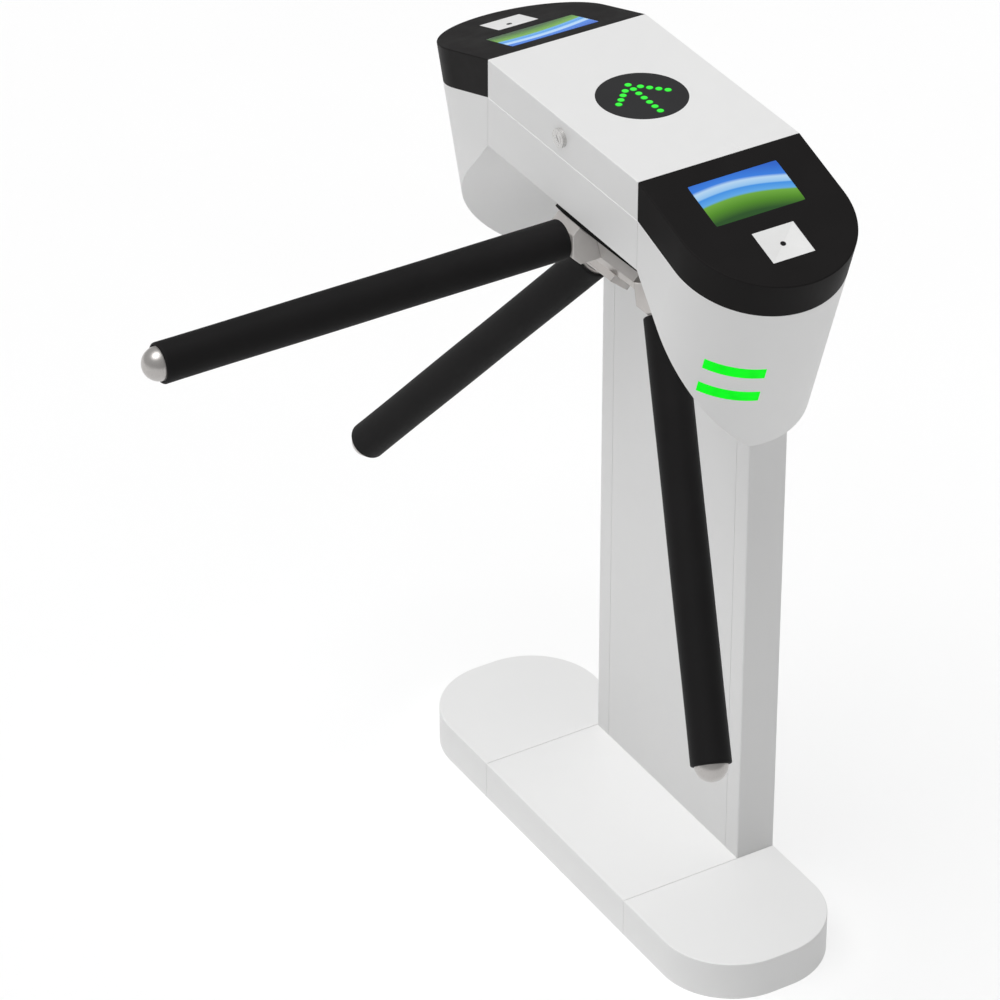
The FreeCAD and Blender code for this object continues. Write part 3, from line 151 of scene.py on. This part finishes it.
def turned_group(name, profiles, segments):
    """Several closed turned shapes in one piece. profiles holds (profile, origin, axis) for each."""
    points = []
    faces = []
    count = 0
    for profile, origin, axis in profiles:
        more, new_faces = dome_parts(profile, origin, axis, segments, count)
        points.append(more)
        faces += new_faces
        count += len(more)
    return new_piece(name, np.vstack(points), faces)


def outward(piece):
    """Turns every face of a piece outwards."""
    work = bmesh.new()
    work.from_mesh(piece.data)
    bmesh.ops.recalc_face_normals(work, faces=work.faces)
    work.to_mesh(piece.data)
    work.free()
    return piece


def corner_points(mesh):
    """The place of every face corner of a mesh."""
    corner = np.empty(len(mesh.loops), int)
    mesh.loops.foreach_get("vertex_index", corner)
    points = np.empty(len(mesh.vertices) * 3)
    mesh.vertices.foreach_get("co", points)
    return points.reshape(-1, 3)[corner]


def give_uv(mesh, u, v):
    """A UV map from one value of u and v for every face corner."""
    layer = mesh.uv_layers.new(name="UVMap")
    layer.data.foreach_set("uv", np.stack([u, v], axis=-1).ravel())


# ---- shader maths ----
class Value:
    """An output socket that can be used in arithmetic: each operation adds a Math node."""

    def __init__(self, shade, socket):
        self.shade = shade
        self.socket = socket

    def maths(self, operation, first, second=None):
        inputs = {0: first}
        if second is not None:
            inputs[1] = second
        return self.shade.node("ShaderNodeMath", {"operation": operation}, inputs)

    def __add__(self, other):
        return self.maths("ADD", self, other)

    def __radd__(self, other):
        return self.maths("ADD", other, self)

    def __sub__(self, other):
        return self.maths("SUBTRACT", self, other)

    def __rsub__(self, other):
        return self.maths("SUBTRACT", other, self)

    def __mul__(self, other):
        return self.maths("MULTIPLY", self, other)

    def __rmul__(self, other):
        return self.maths("MULTIPLY", other, self)

    def sine(self):
        return self.maths("SINE", self)


def opaque(colour):
    """A colour with full alpha, as the sockets take it."""
    return colour + (1.0,)


class Shade:
    """A material made of nodes."""

    def __init__(self, name):
        self.material = bpy.data.materials.new(name)
        self.material.use_nodes = True
        self.tree = self.material.node_tree
        self.tree.nodes.clear()

    def node(self, kind, settings=None, inputs=None, output=0, stops=None):
        """Adds a node: its settings and ramp stops first, then the values or links of its sockets."""
        node = self.tree.nodes.new(kind)
        for name, value in (settings or {}).items():
            setattr(node, name, value)
        if stops:
            while len(node.color_ramp.elements) < len(stops):
                node.color_ramp.elements.new(0.5)
            for element, (place, colour) in zip(node.color_ramp.elements, stops):
                element.position = place
                element.color = opaque(colour)
        for name, value in (inputs or {}).items():
            if isinstance(value, Value):
                self.tree.links.new(value.socket, node.inputs[name])
            else:
                node.inputs[name].default_value = value
        return Value(self, node.outputs[output]) if len(node.outputs) else node

    def place(self):
        """Object coordinates, in metres."""
        return self.node("ShaderNodeTexCoord", output="Object")

    def on_surface(self):
        """The piece's own UV map."""
        return self.node("ShaderNodeTexCoord", output="UV")

    def split(self, vector, axis):
        return self.node("ShaderNodeSeparateXYZ", inputs={0: vector}, output=axis)

    def stretched(self, vector, scale, turn=(0.0, 0.0, 0.0)):
        inputs = {"Vector": vector, "Rotation": turn, "Scale": scale}
        return self.node("ShaderNodeMapping", inputs=inputs)

    def noise(self, vector, scale, detail=2.0, roughness=0.5):
        inputs = {"Vector": vector, "Scale": scale, "Detail": detail, "Roughness": roughness}
        return self.node("ShaderNodeTexNoise", inputs=inputs)

    def cells(self, vector, scale, output="Distance"):
        return self.node("ShaderNodeTexVoronoi", inputs={"Vector": vector, "Scale": scale}, output=output)

    def range(self, value, low, high, new_low=0.0, new_high=1.0):
        """Value carried smoothly from low..high to new_low..new_high."""
        inputs = {0: value, 1: low, 2: high, 3: new_low, 4: new_high}
        return self.node("ShaderNodeMapRange", {"interpolation_type": "SMOOTHSTEP"}, inputs)

    def blend(self, factor, first, second):
        """Colour that goes from first to second."""
        inputs = {0: factor, 6: opaque(first), 7: opaque(second)}
        return self.node("ShaderNodeMix", {"data_type": "RGBA"}, inputs, output=2)

    def bump(self, height, distance, strength=1.0):
        inputs = {"Height": height, "Distance": distance, "Strength": strength}
        return self.node("ShaderNodeBump", inputs=inputs)

    def surface(self, **inputs):
        """Principled surface. A name's underscores stand for spaces."""
        values = {name.replace("_", " "): value for name, value in inputs.items()}
        colour = values.get("Base Color")
        if isinstance(colour, tuple):
            values["Base Color"] = opaque(colour)
        shader = self.node("ShaderNodeBsdfPrincipled", inputs=values)
        self.node("ShaderNodeOutputMaterial", inputs={"Surface": shader})
        return self.material


def darker(colour, share):
    return tuple(value * share for value in colour)


# ---- materials ----
def powder_coat():
    """Fine orange peel about a millimetre across, and a very slight unevenness of tone."""
    shade = Shade("white powder coat")
    place = shade.place()
    tone = shade.noise(place, 9.0, 3.0)
    peel = shade.noise(place, 850.0, 2.0)
    sheen = shade.noise(place, 60.0, 3.0)
    return shade.surface(Base_Color=shade.blend(tone, (0.77, 0.77, 0.768), (0.79, 0.79, 0.787)),
                         Roughness=shade.range(sheen, 0.3, 0.7, 0.42, 0.52),
                         Normal=shade.bump(peel, 0.06 * MM, 0.35))


def moulded_black(name="black moulding", colour=(0.0115, 0.0108, 0.0108), rough=0.5, gloss=0.05):
    """Spark-eroded grain on moulded plastic, with slightly uneven gloss."""
    shade = Shade(name)
    place = shade.place()
    grain = shade.noise(place, 1500.0, 2.0)
    patches = shade.noise(place, 25.0, 4.0)
    light = tuple(value * 1.25 for value in colour)
    return shade.surface(Base_Color=shade.blend(patches, colour, light),
                         Roughness=shade.range(patches, 0.25, 0.75, rough - 0.03, rough + 0.07),
                         Normal=shade.bump(grain, 0.08 * MM, 0.5), Specular_IOR_Level=gloss)


def closed_cell_foam():
    """Skinned foam: fine cells under a matt skin, with soft long dents of tone."""
    shade = Shade("closed-cell foam")
    place = shade.place()
    cell = shade.cells(place, 900.0)
    speckle = shade.noise(place, 2600.0, 2.0)
    tone = shade.noise(place, 22.0, 3.0)
    height = cell * 0.6 + speckle * 0.4
    return shade.surface(Base_Color=shade.blend(tone, (0.0072, 0.0068, 0.007), (0.0105, 0.01, 0.0103)),
                         Roughness=shade.range(speckle, 0.3, 0.7, 0.62, 0.78),
                         Normal=shade.bump(height, 0.12 * MM, 0.6),
                         Specular_IOR_Level=0.12, Sheen_Weight=0.03, Sheen_Roughness=0.5)


def satin_steel(name, colour, rough, stretch=(1.0, 1.0, 1.0), turn=(0.0, 0.0, 0.0), relief=0.02 * MM,
                metal=1.0, spread=0.13):
    """Steel with fine lines: a noise, drawn out along one direction, sets its relief and its gloss."""
    shade = Shade(name)
    place = shade.place()
    lines = shade.noise(shade.stretched(place, stretch, turn), 900.0, 4.0, 0.6)
    clouds = shade.noise(place, 45.0, 3.0)
    return shade.surface(Base_Color=shade.blend(clouds, darker(colour, 0.9), colour), Metallic=metal,
                         Roughness=shade.range(lines, 0.25, 0.75, rough - 0.4 * spread, rough + 0.6 * spread),
                         Normal=shade.bump(lines, relief, 0.6))


def zinc_plate():
    """Spangled zinc: flat cells that differ a little in tone and gloss."""
    colour = (0.56, 0.57, 0.58)
    shade = Shade("zinc plate")
    place = shade.place()
    spangle = shade.split(shade.cells(place, 160.0, "Color"), 0)
    return shade.surface(Base_Color=shade.blend(spangle, darker(colour, 0.8), colour), Metallic=1.0,
                         Roughness=shade.range(spangle, 0.0, 1.0, 0.32, 0.48),
                         Normal=shade.bump(shade.noise(place, 400.0, 2.0), 0.03 * MM, 0.4))


def smooth_plastic(name, colour, rough):
    """Glossy plastic or glass with faint broad waves."""
    shade = Shade(name)
    place = shade.place()
    patches = shade.noise(place, 40.0, 3.0)
    return shade.surface(Base_Color=shade.blend(patches, darker(colour, 0.93), colour),
                         Roughness=shade.range(patches, 0.25, 0.75, rough, rough + 0.06),
                         Normal=shade.bump(patches, 0.02 * MM, 0.5))


GREEN_RESIN = (0.0, 0.02, 0.001)


def lit_bar():
    """Diffusing light bar: brightest in the middle of soft patches, where the diodes sit behind it."""
    shade = Shade("lit bar")
    spots = shade.noise(shade.place(), 70.0, 1.0)
    lit = shade.blend(shade.range(spots, 0.2, 0.6), (0.002, 0.84, 0.012), (0.002, 0.95, 0.014))
    return shade.surface(Base_Color=GREEN_RESIN, Roughness=0.3, Specular_IOR_Level=0.05,
                         Emission_Color=lit, Emission_Strength=1.0)


def lit_dot():
    """One diode under its lens: bright, with a dark green rim. U is the distance from its middle."""
    shade = Shade("lit dot")
    distance = shade.split(shade.on_surface(), 0)
    lit = shade.blend(shade.range(distance, 0.72, 1.0), (0.06, 1.0, 0.07), (0.0, 0.1, 0.003))
    return shade.surface(Base_Color=GREEN_RESIN, Roughness=0.18, Specular_IOR_Level=0.1,
                         Emission_Color=lit, Emission_Strength=1.0)


def circuit():
    """Green lacquer in rows of rectangles, with thin copper tracks between them."""
    shade = Shade("circuit board")
    place = shade.place()
    inputs = {"Vector": place, "Scale": 90.0, "Mortar Size": 0.012, "Color1": opaque((0.012, 0.14, 0.045)),
              "Color2": opaque((0.018, 0.2, 0.065)), "Mortar": opaque((0.2, 0.2, 0.07))}
    lines = shade.node("ShaderNodeTexBrick", inputs=inputs)
    return shade.surface(Base_Color=lines,
                         Roughness=shade.range(shade.noise(place, 80.0), 0.3, 0.7, 0.25, 0.4))


def picture():
    """Idle screen: broad slanted ribbons of blue, pale blue and green with soft, slightly bowed edges.
    The UV map runs across the screen and down it, from 0 to 1."""
    shade = Shade("idle screen")
    spot = shade.on_surface()
    x = shade.split(spot, 0)
    y = shade.split(spot, 1)
    bow = (2.6 * x + 0.4).sine() * 0.16
    level = y + bow - 0.12 * x
    stops = [(0.0, (0.02, 0.13, 0.62)), (0.24, (0.035, 0.22, 0.8)), (0.3, (0.5, 0.72, 0.95)),
             (0.42, (0.3, 0.58, 0.93)), (0.45, (0.05, 0.3, 0.83)), (0.58, (0.12, 0.42, 0.86)),
             (0.62, (0.16, 0.42, 0.04)), (0.8, (0.08, 0.27, 0.012)), (1.0, (0.015, 0.08, 0.01))]
    bands = shade.node("ShaderNodeValToRGB", {}, {0: level}, stops=stops)
    return shade.surface(Base_Color=(0.01, 0.01, 0.01), Roughness=0.12,
                         Emission_Color=bands, Emission_Strength=0.9)


def dress(material, *names):
    """Puts one material on CAD nodes."""
    for name in names:
        node = frame["nodes"][name]
        if not node.material_slots:
            node.data.materials.append(material)
        for entry in node.material_slots:
            entry.material = material


# ---- pieces: the arms ----
ARM_COUNT = 3
ARM_SEGMENTS = 96
TUBE_RADIUS = 19.0 * MM
ARM_END = 611.0 * MM            # end of the tube, from the point where the arms' axes meet
SLEEVE_START = 117.0 * MM
SLEEVE_RADIUS = 22.9 * MM
SLEEVE_ROUND = 2.6 * MM         # rounded edges at both ends
SLEEVE_GAP = 0.15 * MM          # bore, clear of the tube
SWELL = 0.25 * MM               # how much the foam's radius varies
SWELL_LENGTH = 38.0 * MM        # length over which the swell's phase grows by one radian
SWELL_EASE = 20.0 * MM          # the swell starts and stops over this length
MOUTH_WIDER = 1.1 * MM          # the bore is wider at its mouths
MOUTH_DEEP = 2.5 * MM
MOUTH_EDGE = 0.3 * MM
BALL_SUNK = 1.0 * MM            # the ball's middle, inside the end of the tube
BALL_GROOVE = 0.3 * MM          # step between the collar and the ball
COLLAR_DEPTH = 8.0 * MM
COLLAR_SMALLER = 2.1 * MM       # collar's radius, less than the tube's
COLLAR_LAP = 0.1 * MM           # the collar reaches this far into the ball
AXIS_HOLE = 0.2 * MM            # radius at which the collar's flat end meets its fan


def arm_axis(k):
    """Direction of arm k: the first is level, the others are turned about the hub's axis."""
    first = np.array((0.0, -1.0, 0.0))
    turn = 2 * math.pi * k / ARM_COUNT
    along = AXIS * (first @ AXIS)
    return along + (first - along) * math.cos(turn) + np.cross(AXIS, first) * math.sin(turn)


def sleeve_profile():
    """Section of a foam sleeve: outside with a slow swell, rounded ends, and the bore on the tube,
    a little wider at both mouths. At x along the arm,
    radius = SLEEVE_RADIUS - SWELL * (1 + sin(x / SWELL_LENGTH)) / 2, eased to SLEEVE_RADIUS at the ends."""
    low = SLEEVE_START + SLEEVE_ROUND
    high = ARM_END - SLEEVE_ROUND
    along = np.linspace(low, high, 90)
    swell = SWELL * (1 + np.sin(along / SWELL_LENGTH)) / 2
    swell *= np.clip(np.minimum(along - low, high - along) / SWELL_EASE, 0, 1)
    outside = np.stack([along, SLEEVE_RADIUS - swell], axis=-1)
    start = arc((low, SLEEVE_RADIUS - SLEEVE_ROUND), SLEEVE_ROUND, 180, 97, 8)
    end = arc((high, SLEEVE_RADIUS - SLEEVE_ROUND), SLEEVE_ROUND, 83, 0, 8)
    inside = TUBE_RADIUS + SLEEVE_GAP
    mouth = inside + MOUTH_WIDER
    bore = np.array([[ARM_END, mouth - MOUTH_EDGE], [ARM_END - MOUTH_EDGE, mouth],
                     [ARM_END - MOUTH_DEEP, mouth], [ARM_END - MOUTH_DEEP - MOUTH_EDGE, inside],
                     [SLEEVE_START + MOUTH_DEEP, inside], [SLEEVE_START, mouth]])
    return np.vstack([start, outside, end, bore])


def foam_sleeves(foam):
    """A padded sleeve on each arm."""
    for k in range(ARM_COUNT):
        name = "foam_sleeve_%d" % (k + 1)
        sleeve = outward(turned_ring(name, sleeve_profile(), APEX, arm_axis(k), ARM_SEGMENTS))
        sleeve.data.materials.append(foam)
        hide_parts("arm_sleeve_%d" % (k + 1))
        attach(sleeve, "rotor")


def arm_ends(steel):
    """Polished ends: a short collar, a fine groove and a half ball."""
    rim = ARM_END - BALL_SUNK
    collar = TUBE_RADIUS - COLLAR_SMALLER
    seat = rim + COLLAR_LAP
    edge = np.array([[rim - COLLAR_DEPTH, AXIS_HOLE], [rim - COLLAR_DEPTH, collar],
                     [seat, collar], [seat, TUBE_RADIUS - BALL_GROOVE]])
    ball = arc((rim, 0), TUBE_RADIUS, 88, 1.5, 40)
    profile = np.vstack([edge, ball])
    arms = [(profile, APEX, arm_axis(k)) for k in range(ARM_COUNT)]
    domes = outward(turned_group("arm_end_balls", arms, ARM_SEGMENTS))
    domes.data.materials.append(steel)
    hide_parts("arm_domes")
    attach(domes, "rotor")


# ---- pieces: the direction sign ----
DOT_RADIUS = 4.4 * MM
DOT_RISE = 0.9 * MM             # height of the domed lens
DOT_FOOT = 3.0 * MM             # the dots start this far below the lid's top
DOT_SUNK = 0.3 * MM             # edge of the dome, below the lid's top
DOT_HOLE = 0.1 * MM             # radius at which a dot's flat foot meets its fan
DOT_SEGMENTS = 32
ARROW_TIP = -28.4 * MM
SHAFT_DOTS = 7
DOT_PITCH = 10.9 * MM
BARB_DOTS = 4
BARB_FIRST = 9.7 * MM           # first dot of a barb, behind and beside the tip
BARB_PITCH = 7.2 * MM


def dot_centres():
    """The arrow: a shaft of dots whose first is the tip, and two barbs."""
    centres = [(ARROW_TIP + k * DOT_PITCH, HEAD_MID) for k in range(SHAFT_DOTS)]
    for side in (-1, 1):
        for k in range(BARB_DOTS):
            step = BARB_FIRST + k * BARB_PITCH
            centres.append((ARROW_TIP + step, HEAD_MID + side * step))
    return centres


def direction_dots(lit):
    """Low domed lenses on short cylinders: height = DOT_RISE * (1 - (r / DOT_RADIUS) ** 2).
    The UV map's U is the distance from the dot's middle, as a share of its radius."""
    share = np.linspace(1.0, 0.03, 10)
    low = HEAD_TOP - DOT_FOOT
    foot = np.array([[low, DOT_HOLE], [low, DOT_RADIUS]])
    cap = np.stack([HEAD_TOP - DOT_SUNK + DOT_RISE * (1 - share ** 2), DOT_RADIUS * share], axis=-1)
    profile = np.vstack([foot, cap])
    centres = dot_centres()
    places = [(profile, (x, y, 0.0), (0.0, 0.0, 1.0)) for x, y in centres]
    dots = outward(turned_group("direction_dots", places, DOT_SEGMENTS))
    spots = corner_points(dots.data)[:, None, :2]
    apart = np.linalg.norm(spots - np.array(centres), axis=-1).min(axis=1) / DOT_RADIUS
    give_uv(dots.data, apart, np.zeros_like(apart))
    dots.data.materials.append(lit)
    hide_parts("indicator_dots")
    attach(dots, "lid")


# ---- pieces: the screens ----
DISPLAY_AT = 55.7 * MM          # middle of a display, down its slope
DISPLAY_LENGTH = 62.6 * MM
DISPLAY_WIDTH = 113.0 * MM
BEZEL = 0.9 * MM
PANE_SEGMENTS = 96
PANE_SQUARE = 80                # the higher this power, the sharper the pane's corners
PANE_SHARES = (1.0, 1.0, 0.994, 0.7, 0.35, 0.02)
PANE_DROPS = (0.16 * MM, 0.09 * MM, 0.04 * MM, 0.04 * MM, 0.04 * MM, 0.04 * MM)


def on_slope(side, down, over, height):
    """Points on a sloping end: down the slope, over towards +Y and height square to it."""
    along = HEAD_STRAIGHT + down * math.cos(END_SLOPE) + height * math.sin(END_SLOPE)
    up = HEAD_TOP - down * math.sin(END_SLOPE) + height * math.cos(END_SLOPE)
    return np.stack([side * along, HEAD_MID + over, up], axis=-1)


def pane_outline():
    """A rectangle with slightly rounded corners: |x / a| ** p + |y / b| ** p = 1, with p = PANE_SQUARE."""
    turn = np.linspace(0, 2 * math.pi, PANE_SEGMENTS, endpoint=False)
    outline = np.stack([np.cos(turn), np.sin(turn)], axis=-1)
    reach = (np.abs(outline) ** PANE_SQUARE).sum(axis=-1) ** (-1 / PANE_SQUARE)
    return outline * reach[:, None] * (DISPLAY_LENGTH / 2 - BEZEL, DISPLAY_WIDTH / 2 - BEZEL)


def screens(lit):
    """Lit panes in the displays. Each ring of points is the outline times a share, down to the middle,
    and the outermost rings drop to bevel the rim. The UV map runs across the display and down it."""
    outline = pane_outline()
    rows = len(PANE_SHARES)
    faces = grid_faces(rows, PANE_SEGMENTS, False, True)
    faces.append([(rows - 1) * PANE_SEGMENTS + k for k in range(PANE_SEGMENTS)])
    faces.append(list(reversed(range(PANE_SEGMENTS))))
    for label, side in (("front", 1), ("rear", -1)):
        rings = [on_slope(side, DISPLAY_AT + outline[:, 0] * share, outline[:, 1] * share, -drop)
                 for share, drop in zip(PANE_SHARES, PANE_DROPS)]
        screen = outward(new_piece(label + "_screen", np.vstack(rings), faces, smooth=False))
        spots = corner_points(screen.data)
        down = (np.abs(spots[:, 0]) - HEAD_STRAIGHT) / math.cos(END_SLOPE) - DISPLAY_AT
        over = spots[:, 1] - HEAD_MID
        give_uv(screen.data, over / DISPLAY_WIDTH + 0.5, down / DISPLAY_LENGTH + 0.5)
        screen.data.materials.append(lit)
        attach(screen, "stand")


# ---- put it together ----
def dress_frame():
    """Materials of the CAD nodes."""
    dress(powder_coat(), "base_centre_cover", "base_front_cover", "base_rear_cover", "column_shell",
          "column_panel", "head_body", "lid")
    dress(moulded_black(), "front_cap", "rear_cap")
    glass = smooth_plastic("black glass", (0.008, 0.008, 0.009), 0.08)
    dress(glass, "front_display", "rear_display", "reader_eyes")
    dress(smooth_plastic("white plastic", (0.82, 0.82, 0.815), 0.3), "front_reader", "rear_reader")
    dress(moulded_black("dark lens", (0.03, 0.03, 0.031), 0.36), "indicator_lens")
    dress(lit_bar(), "light_bars")
    # The shroud is a black moulded part. Its very dark colour is also painted shade: it stands in for the
    # shadow inside the opening under the head, which the shadowless fill lamp would otherwise light.
    dress(moulded_black("black shroud and painted shade", (0.008, 0.008, 0.008), 0.6), "rotor_shroud")
    dress(moulded_black("black case", (0.02, 0.02, 0.022), 0.5), "damper", "damper_pinion", "solenoids",
          "position_sensor", "cable_grommet")
    hub_steel = satin_steel("hub steel", (0.62, 0.595, 0.575), 0.45, (1.0, 0.15, 0.15),
                            (math.radians(45), 0.0, 0.0), 0.006 * MM, 0.4)
    dress(hub_steel, "hub", "hub_nose", "arm_tubes")
    lock_steel = satin_steel("lock steel", (0.66, 0.65, 0.64), 0.3, relief=0.008 * MM, metal=0.7)
    dress(lock_steel, "lock_housing", "lock_plug")
    dress(satin_steel("machined steel", (0.5, 0.5, 0.51), 0.34, (1.0, 1.0, 0.1)), "shaft", "bearing_housing",
          "bearings", "main_gear", "lock_wheel", "front_pawl", "rear_pawl", "front_plunger", "rear_plunger",
          "pawl_pins")
    dress(zinc_plate(), "cover_posts", "column_foot", "column_bolts", "lock_cam", "body_hinge_leaf",
          "lid_hinge_leaf", "hinge_pin", "chassis_plate", "chassis_studs", "housing_bolts",
          "rear_mechanism_plate", "pillars", "arm_screws", "arm_spigots", "power_supply")
    dress(moulded_black("primed steel", (0.09, 0.09, 0.095), 0.55), "base_plate")
    dress(circuit(), "control_board", "indicator_board")


def build():
    dress_frame()
    foam_sleeves(closed_cell_foam())
    arm_ends(satin_steel("polished steel", (0.52, 0.5, 0.485), 0.28, relief=0.001 * MM, metal=0.55,
                         spread=0.02))
    direction_dots(lit_dot())
    screens(picture())


# ---- stage, light and camera ----
FLOOR_HALF = 12.0
SKY_STRENGTH = 0.22
LAMP_AT = (-0.3, -1.05, 4.0)        # both lamps shine from here towards the origin
KEY_SPREAD = 60
KEY_STRENGTH = 0.9
FILL_SPREAD = 30
FILL_STRENGTH = 1.85
EYE = (4.2781, -2.73494, 3.85988)
LOOK_AT = (0.13392, -0.25569, 0.64195)
SENSOR_MM = 36.0
LENS_MM = 194.24


def floor():
    """Plain pale floor, lit like the rest."""
    corners = ((-1, -1, 0), (1, -1, 0), (1, 1, 0), (-1, 1, 0))
    points = FLOOR_HALF * np.array(corners)
    plane = new_piece("floor", points, [[0, 1, 2, 3]], smooth=False)
    shade = Shade("pale floor")
    tone = shade.noise(shade.place(), 2.0, 2.0)
    pale = shade.blend(tone, (0.93, 0.93, 0.93), (0.95, 0.95, 0.95))
    plane.data.materials.append(shade.surface(Base_Color=pale, Roughness=0.85))


def aim(thing, target):
    """Turns a lamp or camera so that its -Z looks at the target and its +Y is up."""
    direction = Vector(target) - thing.location
    thing.rotation_euler = direction.to_track_quat("-Z", "Y").to_euler()


def soft_light(name, spread, strength, shadow=True):
    """Far, wide lamp: its light comes from a round patch of the sky, spread degrees across."""
    data = bpy.data.lights.new(name, "SUN")
    data.angle = math.radians(spread)
    data.energy = strength
    data.use_shadow = shadow
    lamp = bpy.data.objects.new(name, data)
    bpy.context.scene.collection.objects.link(lamp)
    lamp.location = LAMP_AT
    aim(lamp, (0, 0, 0))


def lights():
    """A white sky, a key lamp with very soft shadows, and a fill without any."""
    world = bpy.data.worlds.new("studio")
    world.use_nodes = True
    background = world.node_tree.nodes["Background"]
    background.inputs["Color"].default_value = opaque((1.0, 1.0, 1.0))
    background.inputs["Strength"].default_value = SKY_STRENGTH
    bpy.context.scene.world = world
    soft_light("top softbox", KEY_SPREAD, KEY_STRENGTH)
    soft_light("even fill", FILL_SPREAD, FILL_STRENGTH, shadow=False)
    bpy.context.scene.view_settings.view_transform = "Standard"


def camera():
    """Camera above the front end and the arms, with a long lens."""
    data = bpy.data.cameras.new("camera")
    data.lens = LENS_MM
    data.sensor_width = SENSOR_MM
    data.clip_end = 60.0
    eye = bpy.data.objects.new("camera", data)
    bpy.context.scene.collection.objects.link(eye)
    eye.location = EYE
    aim(eye, LOOK_AT)
    bpy.context.scene.camera = eye


build()
floor()
lights()
camera()
